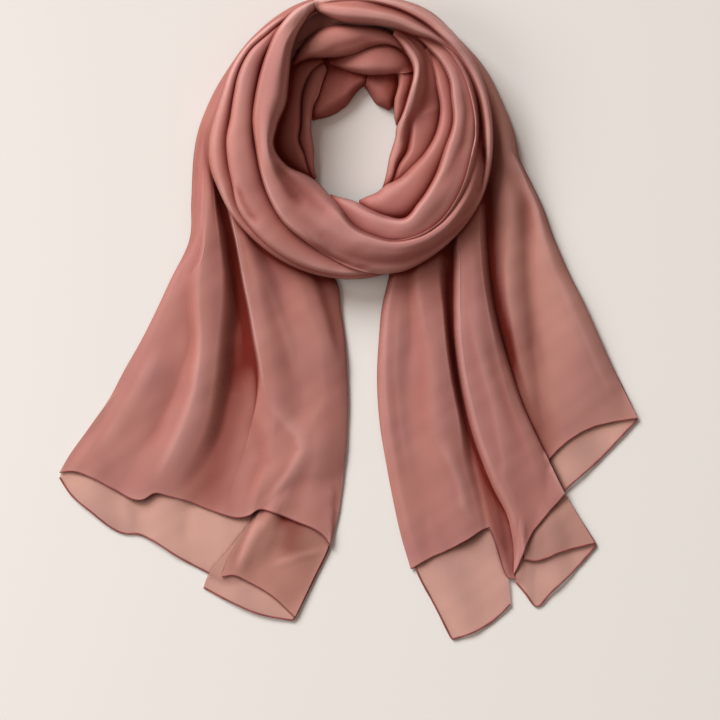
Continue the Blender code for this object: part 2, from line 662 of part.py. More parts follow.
def bent(x, y):
    """Points of a tail whose part above the ring's middle turns round the ring, not straight up."""
    turn = np.maximum(RING_CENTRE[1] - y, 0) / TURN_RADIUS
    out = x - RING_CENTRE[0]
    x = np.where(turn > 0, RING_CENTRE[0] + out * np.cos(turn), x)
    y = np.where(turn > 0, RING_CENTRE[1] - np.abs(out) * np.sin(turn), y)
    return x, y


def tail_grid(stretch):
    """The same for a tail, whose columns each end on the hem."""
    columns = len(across_lines(stretch))
    top = stretch.sections[0].at
    hem_x, hem_y = np.array(stretch.hem, float).T
    down = np.linspace(0, 1, stretch.rows + 1)[:, None]
    ends = np.full(columns, hem_y.mean())
    for _ in range(HEM_PASSES):
        y = top + down * (ends - top)
        x, height = read_sections(stretch, y)
        ends = 0.5 * (ends + np.interp(x[-1], hem_x, hem_y))
    return (*bent(x, y), height)


def quad_samples(grid, step):
    """Fractions along and across a face, as flat arrays: the fine lattice that every face is read on."""
    x, y = grid
    along = np.hypot(np.diff(x, axis=0), np.diff(y, axis=0)).max()
    across = np.hypot(np.diff(x, axis=1), np.diff(y, axis=1)).max()
    s = np.linspace(0, 1, int(along / step) + 2)
    t = np.linspace(0, 1, int(across / step) + 2)
    return [part.ravel() for part in np.meshgrid(s, t, indexing="ij")]


def corners(values):
    """A grid's values at the four corners of each face, each with an axis for the samples."""
    return [
        part[..., None] for part in (values[:-1, :-1], values[1:, :-1], values[:-1, 1:], values[1:, 1:])
    ]


def on_face(values, s, t):
    """Lowest and highest reading of a face's two triangles, whichever way the face is split."""
    a, b, c, d = corners(values)
    below = a + s * (b - a) + t * (d - b)
    above = a + t * (c - a) + s * (d - c)
    low_split = np.where(s > t, below, above)
    near = a + s * (b - a) + t * (c - a)
    far = d + (1 - s) * (c - d) + (1 - t) * (b - d)
    high_split = np.where(s + t < 1, near, far)
    return np.minimum(low_split, high_split), np.maximum(low_split, high_split)


def eased(lift):
    """A lift whose dips between neighbouring sections are filled; it is nowhere less than it was."""
    for _ in range(EASING_PASSES):
        between = 0.5 * (lift[:-2] + lift[2:])
        lift[1:-1] = np.maximum(lift[1:-1], between)
    return lift


class Pile:
    """Height map of all that has been laid down, starting with the bare surface."""

    def __init__(self):
        side = int(PILE_SIZE / RASTER)
        self.margin = int(PILE_MARGIN / RASTER)
        self.top = np.zeros((side + 2 * self.margin, side + 2 * self.margin))

    def cells(self, x, y, s, t):
        across = on_face(x, s, t)[0]
        down = on_face(y, s, t)[0]
        column = (across / RASTER).astype(int) + self.margin
        row = (down / RASTER).astype(int) + self.margin
        return row, column

    def add(self, x, y, top):
        s, t = quad_samples((x, y), SAMPLE_STEP)
        row, column = self.cells(x, y, s, t)
        np.maximum.at(self.top, (row, column), on_face(top, s, t)[1])

    def widened(self):
        """Each cell's highest neighbour, so that a steep side keeps its distance in plan as well."""
        wide = self.top.copy()
        for axis in (0, 1):
            ahead = np.roll(wide, 1, axis)
            behind = np.roll(wide, -1, axis)
            wide = np.maximum(wide, np.maximum(ahead, behind))
        return wide

    def raised(self, x, y, under):
        """The underside, raised little by little until its faces clear the pile everywhere."""
        s, t = quad_samples((x, y), SAMPLE_STEP)
        row, column = self.cells(x, y, s, t)
        floor = self.widened()[row, column]
        floor = np.where(floor > 0, floor + LAY_GAP, 0)
        shares = [(1 - s) * (1 - t), s * (1 - t), (1 - s) * t, s * t]
        places = (np.s_[:-1, :-1], np.s_[1:, :-1], np.s_[:-1, 1:], np.s_[1:, 1:])
        lift = np.zeros_like(under)
        for _ in range(LIFT_PASSES):
            need = floor - on_face(under + lift, s, t)[0]
            if need.max() < LEAST_LIFT:
                break
            more = np.zeros_like(under)
            for place, share in zip(places, shares):
                more[place] = np.maximum(more[place], (need * share).max(axis=-1))
            lift = lift + more
        return under + eased(lift)


def wall_above(x, y, under):
    """Top side of the cloth: the wall is measured square to it, so it is thicker upright on a slope."""
    along = np.stack([np.gradient(part, axis=0) for part in (x, y, under)], axis=-1)
    across = np.stack([np.gradient(part, axis=1) for part in (x, y, under)], axis=-1)
    normal = np.cross(along, across)
    upright = np.abs(normal[..., 2]) / np.linalg.norm(normal, axis=-1)
    return under + WALL * np.minimum(1 / np.maximum(upright, LEVEL_LEAST), STEEPEST)


def pass_over_start(pile, x, y, under):
    """The underside of a turn that goes more than once round, its end raised to lie on its own start."""
    start = np.s_[:LAP_ROWS]
    end = np.s_[-LAP_ROWS:]
    pile.add(x[start], y[start], wall_above(x, y, under)[start])
    under[end] = pile.raised(x[end], y[end], under[end])
    return under


def material_of(name, colour):
    material = bpy.data.materials.new(name)
    material.use_nodes = True
    shader = material.node_tree.nodes["Principled BSDF"]
    shader.inputs["Base Color"].default_value = (*colour, 1)
    shader.inputs["Roughness"].default_value = CLOTH_ROUGHNESS
    shader.inputs["Metallic"].default_value = 0.0
    return material


def cut_in_two(a, b, c, d):
    """The two triangles of a face, cut along the more level diagonal, which follows a fold's line."""
    if abs(a.co.z - c.co.z) <= abs(b.co.z - d.co.z):
        return (a, b, c), (a, c, d)
    return (a, b, d), (b, c, d)


def make_solid(name, colour, x, y, under, top, collection, closed_ring=False):
    """A closed wall between two heights over the same plan points."""
    rows, columns = x.shape
    bm = bmesh.new()
    place = bm.verts.layers.int.new("place")
    points = []
    for index, (px, py, pz) in enumerate(zip(x.ravel(), y.ravel(), under.ravel())):
        co = ((px - PLAN_ORIGIN[0]) * MM, (PLAN_ORIGIN[1] - py) * MM, pz * MM)
        point = bm.verts.new(co)
        point[place] = index
        points.append(point)
    for row in range(rows if closed_ring else rows - 1):
        here = row * columns
        following = (row + 1) % rows * columns
        for column in range(columns - 1):
            halves = cut_in_two(
                points[here + column],
                points[following + column],
                points[following + column + 1],
                points[here + column + 1],
            )
            for half in halves:
                bm.faces.new(half)
    heights = top.ravel()
    raised = bmesh.ops.extrude_face_region(bm, geom=bm.faces[:], use_keep_orig=True)
    for item in raised["geom"]:
        if isinstance(item, bmesh.types.BMVert):
            item.co.z = heights[item[place]] * MM
    bmesh.ops.recalc_face_normals(bm, faces=bm.faces[:])
    mesh = bpy.data.meshes.new(name)
    bm.to_mesh(mesh)
    bm.free()
    mesh.shade_smooth()
    mesh.set_sharp_from_angle(angle=math.radians(SHARP_FROM))
    mesh.materials.append(material_of(name, colour))
    collection.objects.link(bpy.data.objects.new(name, mesh))


def make_core(pile, collection):
    """The hidden turns, solid from the surface up to a rounded top."""
    x, y, top = ring_grid(CORE)
    pile.add(x, y, top)
    x, y, top = (part[:-1] for part in (x, y, top))
    make_solid(CORE.name, CORE.colour, x, y, np.zeros_like(top), top, collection, closed_ring=True)


def clear_scene():
    for item in list(bpy.data.objects):
        bpy.data.objects.remove(item, do_unlink=True)


def main():
    clear_scene()
    collection = bpy.data.collections.new("chiffon_scarf")
    bpy.context.scene.collection.children.link(collection)
    pile = Pile()
    make_core(pile, collection)
    for stretch in LAID_IN_ORDER:
        x, y, under = tail_grid(stretch) if stretch.hem else ring_grid(stretch)
        under = pile.raised(x, y, under)
        if stretch is FRONT_TURN:
            under = pass_over_start(pile, x, y, under)
        top = wall_above(x, y, under)
        pile.add(x, y, top)
        make_solid(stretch.name, stretch.colour, x, y, under, top, collection)


main()
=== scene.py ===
"""Looks of a chiffon scarf that is wound into a ring, its ends spread below it as tails, seen from above.

Each stretch of cloth is a thin shell on the form of its solid: a fine grid lofted through sections like
the solid's, some of them moved a little, with creases and an uneven surface added, and laid down in the
same order. Rolled hems run along the edges that are hems. Plan coordinates are millimetres, a millimetre
for each pixel of the photograph: x runs to the right and y from the ring towards the hems. Sections of the
ring are polar, about its centre, with angles in degrees counter-clockwise.
"""

from collections import namedtuple
from functools import cache
import math

import bpy
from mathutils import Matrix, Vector
import numpy as np

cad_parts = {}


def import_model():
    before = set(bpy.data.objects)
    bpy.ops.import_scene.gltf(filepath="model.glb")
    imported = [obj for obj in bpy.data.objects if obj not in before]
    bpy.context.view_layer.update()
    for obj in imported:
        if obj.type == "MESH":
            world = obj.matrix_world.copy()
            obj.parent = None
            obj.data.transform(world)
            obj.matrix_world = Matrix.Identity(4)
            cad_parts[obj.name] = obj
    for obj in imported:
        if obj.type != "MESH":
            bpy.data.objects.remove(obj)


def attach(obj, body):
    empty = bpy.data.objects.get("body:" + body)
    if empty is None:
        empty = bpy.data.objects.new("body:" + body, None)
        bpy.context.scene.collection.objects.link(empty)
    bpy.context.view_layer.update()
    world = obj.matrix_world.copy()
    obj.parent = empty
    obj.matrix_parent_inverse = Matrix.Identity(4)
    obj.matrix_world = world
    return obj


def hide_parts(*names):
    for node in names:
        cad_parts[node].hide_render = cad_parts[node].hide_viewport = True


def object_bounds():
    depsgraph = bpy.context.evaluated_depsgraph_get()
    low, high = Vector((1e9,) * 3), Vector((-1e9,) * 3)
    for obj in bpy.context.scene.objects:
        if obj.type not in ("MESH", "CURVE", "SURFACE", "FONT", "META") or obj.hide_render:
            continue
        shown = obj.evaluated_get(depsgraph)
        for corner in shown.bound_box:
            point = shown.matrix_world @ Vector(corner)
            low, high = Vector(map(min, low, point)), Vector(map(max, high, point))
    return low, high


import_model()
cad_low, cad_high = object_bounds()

MM = 0.001  # a millimetre, in metres
PLAN_ORIGIN = (347.5, 318.0)  # plan point above the middle of the whole scarf, mm
RING_CENTRE = (355.0, 140.0)  # plan point that the turns go round, mm
TURN_RADIUS = 145.0  # a tail's sections above the ring's middle are this far round it, mm
WALL = 1.6  # the solids' wall, which the layers keep clear of each other by, mm
CLOTH = 0.5  # thickness of the shells, mm
STEEPEST = 1.4  # the wall's upright thickness is at most this many walls
LEVEL_LEAST = 0.01  # least upright share of a normal that is divided by
LENGTH_LEAST = 1e-9  # least length of a vector that is divided by
LAY_GAP = 0.3  # a stretch lies this far above the one under it, mm
ALONG_STEP = 2.3  # spacing of the grid's rows, mm
ACROSS_STEP = 1.7  # widest spacing of its columns, mm
FEWEST_STEPS, MOST_STEPS = 4, 16  # columns between two lines
LEAST_STEP = 0.22  # neighbouring columns are at least this far apart, mm
ROUNDNESS = 2.4  # exponent of a fold's flank: 1 is straight, 2 is a quarter of an ellipse
FLAT_ROUNDNESS = 1.45  # the same for cloth that lies in few layers: the tails, and what shows in the hole
STEEP_FROM, STEEP_RANGE = 2.0, 5.0  # a fold's flank is steep where it rises by more than this, mm
RASTER = 0.5  # cell size of the pile's height map, mm
HEM_PASSES = 12  # times that a tail's columns are drawn out to its hem
PILE_MARGIN = 60  # height map beyond the plan's edge, mm
PILE_SIZE = 720  # side of the height map, mm
SETTLE_PASSES = 3  # times that a lift spreads to its neighbours
LAP_DEGREES = 37.0  # stretch at the front turn's start that its end can lie on
SHARP_FROM = 60  # degrees between faces from which an edge is shaded sharp

HEM_RADIUS = 0.65  # of the rolled hem, mm
BACK_HEM_RADIUS = 0.95  # of the lower layers' hems, whose fold is looser, mm
BACK_SHEER = 0.3  # a stretch that lets by more of the light than this is a lower layer
HEM_SIDES = 8  # sides of the hem's tube
HEM_WAVER = 0.12  # share by which its thickness varies
HEM_WAVES = (7.3, 3.1)  # that variation's two wave lengths over 2 pi, mm
HEM_SIDE_ROWS = 46  # rows up a side edge that a hem is followed for
HEM_LEAST_STEP = 0.6  # least spacing of the points along it, mm
HEM_ROUNDINGS = 2  # times that its corners are evened out

DEPTH_READINGS = ((5, 9), (12, 16))  # mm to each side that are read, and mm below their mean that get the full painted shade
TAIL_RELIEF = 0.6  # the tails' folds are shallower by this, so their painted shade is read against depths this much smaller
OPEN_FROM, OPEN_RANGE = 110, 80  # y down to which the tails lie open behind the ring and their painted shade is held low, and the change-over, mm
OPEN_DEEP = 0.1  # the most painted shade they get there
SKY_SIDES = 12  # directions in which the sky is looked for
SKY_REACHES = (2, 4, 7, 11, 17, 26, 40, 60)  # and how far off, mm
SHUT_WEIGHT = 1.6  # how much a share of hidden sky adds to the painted shade
SHUT_FROM = 0.12  # share of the sky that any fold is shut off from
UNEVEN_BEND = 1.7  # how much the uneven surface's waves vary in length
UNEVEN_WAVES = (  # wave length in mm, its slant in radians, phase, and height in mm
    (61, 0.15, 0.4, 0.22),
    (37, -0.2, 1.9, 0.16),
    (83, 1.45, 2.6, 0.30),
    (47, 1.75, 0.8, 0.18),
    (23, 0.9, 3.3, 0.08),
)

LENS = 500.0  # focal length, long enough for a nearly parallel view, mm
SENSOR = 36.0  # mm
FAR_END = 100  # how far the camera sees, m
FRAME_SIDE = 720.0  # side of the framed square on the surface, mm
SHARP_HEIGHT = 20.0  # height above the surface at which the frame has just that side, mm

# What shows of a stretch: cut is its flat width and length, in metres, sheer the share of light that one
# side of the shell lets by, hems the edges that have a rolled hem, and the last how much painted shade it
# gets all over, for what lies low down in shadow.
Look = namedtuple("Look", "cut sheer hems deep", defaults=(0.0, "", 0.0))

# One crease, on plan points: height is above 0 for a ridge, in mm, and it fades out over so many mm on its
# two sides, the first of them towards the left for a crease that runs down the plan. Its painted shade in a
# trough, or painted highlight on a ridge, is as strong as for one that is so many times deeper.
Crease = namedtuple("Crease", "points height before after redder", defaults=(1,))

# One stretch: where its sections lie, and in each of them a place and a height for each lengthwise line.
# The lines that are hard are met steeply, as at a crease or a rolled edge.
Stretch = namedtuple("Stretch", "name look hard at places heights hem creases")


def route(text):
    """Plan points, written as x,y pairs."""
    return [tuple(float(number) for number in point.split(",")) for point in text.split()]


def read_crease(row):
    """A crease, written as its numbers and then its route."""
    numbers, points = row.split(";")
    return Crease(np.array(route(points)), *(float(number) for number in numbers.split()))


def read_stretch(name, look, table, hem="", creases=""):
    """A stretch of cloth. Its table names its lengthwise lines, with a star for a hard one. Each row below is
    a section: where it lies, then the lines' places, then their heights.

    Round the ring, a section lies at an angle, and places are radii. Down a tail, it lies at a y, places are
    x, and hem is the outline of the lower end.
    """
    lines, *rows = table.strip().splitlines()
    hard = [line.startswith("*") for line in lines.split()]
    parts = zip(*([part.split() for part in row.split(";")] for row in rows))
    at, places, heights = (np.array(part, float) for part in parts)
    creases = [read_crease(row) for row in creases.strip().splitlines()]
    return Stretch(name, look, hard, at[:, 0], places, heights, route(hem), creases)


# The hidden turns: one rounded solid with a flat underside.
CORE = read_stretch("ring_core", Look((0.07, 0.7)), """
    *hole_foot inner_shoulder outer_shoulder *outer_foot
    0; 70 88 112 125; 3 15 20 3
    45; 94 105 122 134; 3 15 22 3
    90; 92 104 126 136; 3 14 24 3
    135; 98 106 122 134; 3 24 24 3
    180; 91 99 116 130; 3 28 24 3
    225; 70 84 103 113; 3 26 26 3
    250; 71 85 105 118; 3 24 28 3
    270; 72 86 110 126; 3 22 30 3
    290; 70 84 104 117; 3 20 28 3
    315; 66 80 104 115; 3 16 24 3
    360; 70 88 112 125; 3 15 20 3
""")

# Laid down in this order: each lies on those before it.
STRETCHES = [
    # The tails, from the lowest layer up. Each tail is the scarf's width folded lengthwise, so a back layer
    # shows below the front layer's hem.
    read_stretch("left_tail_back", Look((0.185, 0.15), 0.5, "end"), """
    *fold wave_1 hollow_1 wave_2 hollow_2 *inner
    395; 114 142 172 204 238 272; 0 0 0 0 0 0
    475; 60 96 138 174 216 272; 0 2 0 3 0 1
    520; 54 90 132 162 204 262; 0 2 0 3 0 1
    575; 50 86 128 156 188 236; 0 1 0 2 0 1
    """, hem="""
    57,474 69,493 88,510 125,534 137,534 149,539 176,556 222,580
    """, creases="""
    -1.6 9 10; 186,498 190,520 196,548
    1.2 7 8; 122,490 128,512 132,536
    """),
    read_stretch("left_pleat_back", Look((0.088, 0.15), 0.5, "end last"), """
    *left middle ridge *right
    470; 268 288 310 333; 0 2 3 0
    517; 254 281 306 333; 0 2 3 0
    547; 231 263 296 329; 0 2 3 0
    575; 208 241 279 316; 0 2 3 0
    621; 201 232 262 293; 0 1 1 0
    """, hem="""
    202,587 224,599 258,614 293,621
    """),
    # The pleat gets some painted shade all over.
    read_stretch("left_pleat", Look((0.082, 0.132), 0.28, "end", 0.3), """
    *left ridge hollow *right
    465; 272 288 308 331; 1 6 3 1
    517; 256 270 300 331; 1 8 3 1
    547; 235 252 290 328; 1 7 3 1
    575; 222 240 278 315; 1 5 3 1
    617; 218 236 266 295; 1 2 2 1
    """, hem="""
    222,577 232,575 248,582 273,597 294,617
    """, creases="""
    -2.5 14 18 2; 284,500 292,534 286,564
    2.0 4 7; 262,512 248,544 236,574
    1.4 4 4; 330,549 300,556 265,569
    """),
    read_stretch("left_tail", Look((0.155, 0.6), 0.12, "end"), """
    *outline side slope hollow_1 ridge_1 shoulder hollow_2 *lip_foot lip crest middle ridge_2 *inner_edge
    -112; 216 219 221.5 224 226 228 230 232 234 236 239 241.5 244; 1 9 13 15 16 16 16 16 16 16 16 15 12
    -88; 211 215 218 221 223.5 226 228 230.5 233 235.5 238 240.5 243; 1 10 16 19 21 22 22 22 22 22 22 21 18
    -50; 207 211.5 215 218.5 222 225 228 231 233.5 236 239 242 245; 1 10 16 20 22 23 24 24 24 24 24 22 18
    26; 209 213.5 217 220.5 224 227 230 232.5 235 238 241 244 247; 1 10 16 20 22 23 24 24 24 24 24 22 18
    64; 209 213.5 217 220.5 224 227 230 232.5 235 238 241 244 247; 1 10 16 20 22 23 24 24 24 24 24 22 18
    102; 204 209 213 217 220 223 226 229 232 235 239 243 247; 1 11 17 20 22 23 24 24 24 24 24 22 18
    150; 194 199 203 207 210 213 216 220 224 230 236 241 246; 1 11 17 20 22 21 18 17 23 24 24 23 20
    200; 191 196 200 204 209 214 220 225 229 235 242 250 258; 1 10 15 19.5 21 19 11 8 24 23 20 16 10
    240; 189 193.5 197 201 206 218 229 234 237 244 258 276 292; 1 9 13 16.5 19.5 17 5 3 23 23 17 14 3
    280; 170 175.5 182 189 201 221 236.5 241 244 255 279 300 336; 1 6 9 12 18 16 3 2 22 22 12 15 1
    310; 156 163.5 174 187 201 220 240 247 250.5 260 286 309 341; 1 5 7.5 9 17.5 15 2 2 21 21 12 16 1
    340; 141 150.5 166 189 202 217 236 252 256 266 297 320 345; 1 4 6.5 7.5 16 14 2 2 19 20 12 14 1
    370; 124 136 154 181 199 214 234 257 262 272 299 322 347; 1 4 7 7 15 13.5 2 3 16 17 11 12 1
    400; 108 122 142 170 194 210 231 256 267 277 305 323 348; 1 4 6 6 13 12 2 4 12 14 10 10 1
    430; 87 103 123 152 184 203 226 250 266 276 293 309 347; 1 4 5 5 11 10 2 4 9 11 11 12 1
    460; 66 82 102 132 168 188 216 242 258 270 286 302 345; 1 4 5 4 9 7.5 2 3 6 9 11 12 1
    485; 54 68 88 118 151 174 206 233 250 262 275 290 342; 1 3 4 3 7 6 2 3 6 9 9 8 1
    510; 50 62 80 106 145 168 200 228 245 255 267 280 339; 1 3 3 2 6 4 2 3 5 7 7 6 1
    547; 46 58 76 102 141 165 197 228 242 252 262 275 330; 1 2 2 2 4 3 2 3 4 5 5 4 1
    """, hem="""
    57,473 70,471 90,477 113,489 137,500 144,499.5 151,494 168,496 190,502 210,510 246,516.5 250,515
    256,510.5 275,513 297,522 316,530 326,539 330,547
    """, creases="""
    2.2 6 18; 204,320 202,355 196,392 182,430 166,465 153,496
    -1.0 16 9 5; 236,225 241,280 246,320 246,360 238,400
    -0.8 20 20 7; 246,320 237,380 229,420 217,460 205,500 197,540
    -1.0 12 6; 184,345 174,385 160,425 146,462
    1.9 5 10; 262,396 284,420 299,437 303,450 292,472 274,497 252,516
    -1.3 8 8; 246,405 260,440 264,462 252,488 238,506
    -2.6 5 9; 307,240 319,280 331,318 343,366
    1.2 6 12; 262,262 276,300 292,345 303,392
    0.8 6 10; 160,345 138,388 114,428 92,462
    1.0 7 12; 322,420 318,460 306,505 300,524
    """),
    read_stretch("right_tail_outer_back", Look((0.098, 0.14), 0.5, "end last"), """
    *hidden wave hollow *fold
    330; 505 530 562 594; 0 0 0 0
    418; 531 562 602 637; 0 2 0 0
    500; 552 584 628 672; 0 1 0 0
    """, hem="""
    545,508 564,491 600,459 638,419
    """),
    read_stretch("right_tail_outer", Look((0.079, 0.55), 0.22, "end"), """
    *hidden ridge_1 hollow ridge_2 *outline
    -116; 474 481 487 493 499; 16 20 22 18 1
    -88; 474 482 488 494 500; 16 22 24 20 1
    -50; 475 483 490 496 502.5; 16 22 24 20 1
    -12; 476 484 491 498 504.5; 16 22 24 20 1
    26; 474 482 488 494 500.5; 16 22 24 20 1
    64; 476 484 491 497 503.5; 15 22 24 20 1
    102; 479 488 495 501 507; 13 20 23 20 1
    140; 480 496 504 510 516; 8 19 22 18 1
    160; 480 500 508 514 520; 6 17 19 17 1
    180; 480 506 517 524 530; 4 14 13.5 14 1
    203; 480 511 526 535 541; 3 13 8 12 1
    240; 480 510 529 545 555; 2 11 6 12 1
    270; 481 508 530 555 568; 2 11 6 13 1
    300; 484 510 534 567 583; 2 10 5 13 1
    340; 493 515 539 579 601; 2 7.5 3.5 12 1
    380; 506 524 545 595 619; 2 5 3 9 1
    418; 522 535 552 605 638; 2 4 2 3 1
    462; 545 560 580 625 660; 2 3 2 2 1
    """, hem="""
    543,466 549,459 568,441 590,428 612,422 639,418
    """, creases="""
    -1.8 8 9; 524,165 526,200 527,250 529,290 536,345 548,400
    -4.0 6 13 1.6; 487,150 491,230 495,285 503,340 516,395
    -1.0 6 22 5; 499,300 514,355 528,400 545,440 565,480
    1.2 4 14; 556,262 577,315 600,367 619,408
    1.2 3 9; 505,245 509,300 521,360 538,420
    """),
    read_stretch("right_tail_inner_back", Look((0.09, 0.16), 0.5, "first end"), """
    *fold wave hollow *edge
    470; 394 426 462 486; 0 2 0 1
    536; 406 440 474 500; 0 2 0 1
    576; 419 450 480 508; 0 2 0 1
    604; 434 461 487 511; 0 2 0 1
    640; 452 474 496 513; 0 1 0 0
    """, hem="""
    452,640 475,632 498,617 511,604
    """),
    read_stretch("right_tail_inner", Look((0.1, 0.33), 0.12, "end"), """
    *outline side hollow ridge slope foot *tucked
    228; 402 409 417 426 438 448 458; 3 12 10 12 10 7 6
    250; 396 403 411 422 437 447 457; 1 12 10 15 12 6 4
    280; 388 395 408 420 438 448 460; 1 12 10 16 13 3 2
    310; 381.5 389 409 424 442 449.5 462; 1 12 10 17 13 2 2
    337; 379 387 410 429 444.5 451.5 465; 1 12 9 17 14 2 2
    375; 377 386 406 435 449.5 456.5 471; 1 11 8 17 14 2 2
    426; 380 390 410 442 459 467 485; 1 9 6 14 11 2 1.5
    460; 385.5 396 415 450 463 474 497; 1 7 5 12 9 2 1.5
    500; 393 404 426 460 474 484 515; 1 5 4 9 6 2 1.5
    536; 401 413 434 466 482 491 522; 1 4 3 6 4 2 1.5
    570; 411 425 444 474 488 496 520; 1 3 3 4 3 2 1.5
    """, hem="""
    411,569 430,558 450,549 470,538 486,528.5 492,529 497,548 503,570 518,580
    """, creases="""
    1.0 5 12; 408,264 400,315 398,372 404,432 417,500
    1.1 4 8; 437,436 454,468 461,484 464,505 480,530
    -0.8 8 8; 424,285 426,340 421,400 430,460
    -1.2 2.5 3; 450,262 453,337 460,385 469,425
    -1.0 5 14 7; 470,418 480,462 489,500 495,523 500,547 509,585
    """),
    read_stretch("right_tail_middle_back", Look((0.085, 0.115), 0.5, "end last"), """
    *left wave_1 corner wave_2 hollow *fold
    470; 494 501 511 524 538 551; 0 1 0 2 0 0
    520; 515 522 532 547 564 580; 0 1 0 2 0 0
    545; 519 526 536 554 576 596; 0 1 0 2 0 0
    575; 516 525 537 560 586 610; 0 2 0 1 0 0
    607; 518 526 537 562 590 620; 0 1 0 1 0 0
    """, hem="""
    514,580 526,594 536,607 550,594 574,571 598,544
    """),
    read_stretch("right_tail_middle_flap", Look((0.057, 0.105), 0.5, "end"), """
    *hidden wave hollow *fold
    455; 500 512 528 545; 1 3 1 0
    500; 516 530 550 569; 1 3 1 0
    545; 523 543 570 596; 1 3 1 0
    562; 525 546 574 606; 1 2 1 0
    """, hem="""
    521,558 533,561 564,551 596,543
    """, creases="""
    -1.0 5 5; 564,498 575,520 592,540
    """),
    read_stretch("right_tail_middle", Look((0.063, 0.36), 0.12, "end"), """
    *lip_foot lip middle slope *outline
    168; 462 466 473 480 485; 6 14 16 13 2
    200; 458 463 471 479 485; 4 16 18 15 2
    230; 453 458 468 479 486; 3 18 19 17 3
    260; 453 460 471 481 488; 2 20 21 18 4
    300; 453 460 474 486 493; 2 20 21 18 4
    336; 454 461 477 493 501; 2 19 20 17 4
    370; 458 465 482 501 511; 2 18 18 15 4
    403; 464 472 489 511 522; 2 17 16 13 4
    430; 471 479 497 521 534; 2 15 14 12 4
    459; 481 489 508 533 548; 2 14 12 10 3
    490; 494 502 521 545 563; 2 11 9 6 2
    515; 507 514 531 553 576; 2 8 6 4 2
    541; 513 520 539 563 590; 2 5 4 3 2
    579; 514 522 545 575 605; 2 4 4 3 2
    """, hem="""
    513,577 521,560 527,543 544,518 565,494
    """, creases="""
    0.9 4 9; 466,285 478,345 495,405 506,462 502,515
    -0.9 7 8; 482,315 497,375 519,435 537,478
    """),

    # Layers that show inside the hole, low down.
    # These layers get painted shade all over, as they lie low in the ring's shadow.
    read_stretch("hole_back_left", Look((0.055, 0.1), deep=0.5), """
    *edge crest *hidden
    74; 58 62 80; 0 5 2
    83; 53.5 61 84; 0 12 2
    90; 46.5 57 90; 0 13 2
    100; 38 50 95; 0 14 2
    115; 34 46 97; 0 15 2
    130; 34 46 84; 0 15 2
    143; 38 47 72; 0 13 2
    154; 46 50 60; 0 6 2
    """),
    read_stretch("hole_back_right", Look((0.045, 0.056), deep=0.45), """
    *edge crest *hidden
    42; 45 49 58; 0 4 2
    50; 43.5 52 76; 0 11 2
    60; 42.5 55 97; 0 14 3
    70; 47 58 97; 0 13 3
    79; 54 63 94; 0 11 3
    """),
    read_stretch("inner_left", Look((0.073, 0.145), deep=0.05), """
    *hole_edge low_crest *groove high_crest *hidden
    112; 76 80 84 88 96; 6 14 9 14 8
    120; 66.5 74 82 88 98; 4 17 8 17 8
    130; 58 67 76 84 100; 2 19 7 19 6
    140; 54.5 61 69 79 99; 1 20 7 21 5
    152; 49.5 55 61 71 96; 1 20 7 23 4
    165; 46 51 56.5 65 94; 1 19 7 24 4
    180; 43 49 56.5 63 93; 1 18 7 24 4
    195; 43 48 53 60 88; 1 15 7 21 5
    210; 48 51 55 60 79; 1 12 8 16 6
    224; 54 56 58.5 62 72; 1 8 7 9 5
    """),
    read_stretch("inner_right_low", Look((0.036, 0.072)), """
    *hole_edge crest *hidden
    20; 44 46.5 54; 0 6 3
    30; 46 53 66; 0 14 4
    40; 51.5 60 82; 2 18 6
    46; 58 69 93; 4 20 6
    52; 71 80 99; 5 20 6
    58; 80 87 100; 5 18 5
    62; 84 89 99; 5 12 4
    """),
    read_stretch("inner_top_low", Look((0.044, 0.095), deep=0.1), """
    *lower_edge crest *hidden
    49.5; 90 93 98; 8 14 8
    53; 84 90 100; 8 20 8
    57; 80 89 102; 8 24 8
    62; 75 86 103; 7 27 8
    70; 70 83 104; 7 29 8
    80; 67 79 100; 7 29 6
    90; 68 77 96; 6 25 6
    98; 71.5 77 94; 5 19 5
    104; 77 80 91; 5 13 5
    108; 81 83 88; 4 8 4
    """),
    read_stretch("inner_top", Look((0.039, 0.138)), """
    *lower_edge crest *upper_edge
    57; 99 102 106; 15 20 18
    63; 101.5 105 110; 15 26 18
    70; 101.5 106 113; 15 31 18
    80; 95 105 115; 15 36 18
    90; 87 103 116; 14 39 18
    100; 85 102 116; 14 40 18
    110; 88 102 115; 14 39 16
    120; 94 101 108; 12 34 12
    126; 96 99.5 103; 10 24 10
    129; 96.5 98 100; 8 16 8
    """, creases="""
    -1.6 5 4; 316,56 338,47 363,41 385,41
    """),
    read_stretch("inner_right", Look((0.056, 0.19)), """
    *hole_edge crest valley ridge *hidden
    -60; 55 58 61 64 67; 1 8 8 8 6
    -48; 47 52 56 60 66; 1 12 10 13 8
    -30; 39.5 45 50 55 70; 1 16 11 19 9
    -10; 38.5 45 53 59 82; 1 19 13 23 8
    5; 41 46 55 61 88; 1 22 17 25 8
    18; 44.5 51.5 59 66 96; 2 28 24 26 8
    28; 54 60 67 76 103; 8 35 33 29 9
    40; 70.5 76.5 84 92 111; 12 41 38 33 12
    50; 91.5 97 101 106 117; 16 42 39 34 18
    60; 102 106 109 112 121; 20 40 38 36 22
    70; 112 114 116 118 121; 24 32 32 32 24
    """),

    # The turns that go round, from the inside out and from below upwards.
    read_stretch("loop_thin", Look((0.043, 0.225)), """
    *inner_edge crest *hidden
    -86; 60.5 64 70; 5 14 10
    -78; 58 68 79; 5 25 14
    -68; 57 70 88; 5 30 16
    -55; 55 69 96; 7 33 18
    -42; 58.5 69 96; 10 35 18
    -25; 63 72 95; 12 36 18
    -10; 71.5 80 97; 14 38 21
    5; 81.5 90 102; 15 38 22
    20; 91 98.5 111; 16 37 20
    33; 98 103.5 117; 17 36 22
    43; 107 111 120; 18 34 22
    52; 114 116.5 121; 18 28 22
    """, creases="""
    -1.0 4 4; 432,150 417,167 400,182
    """),
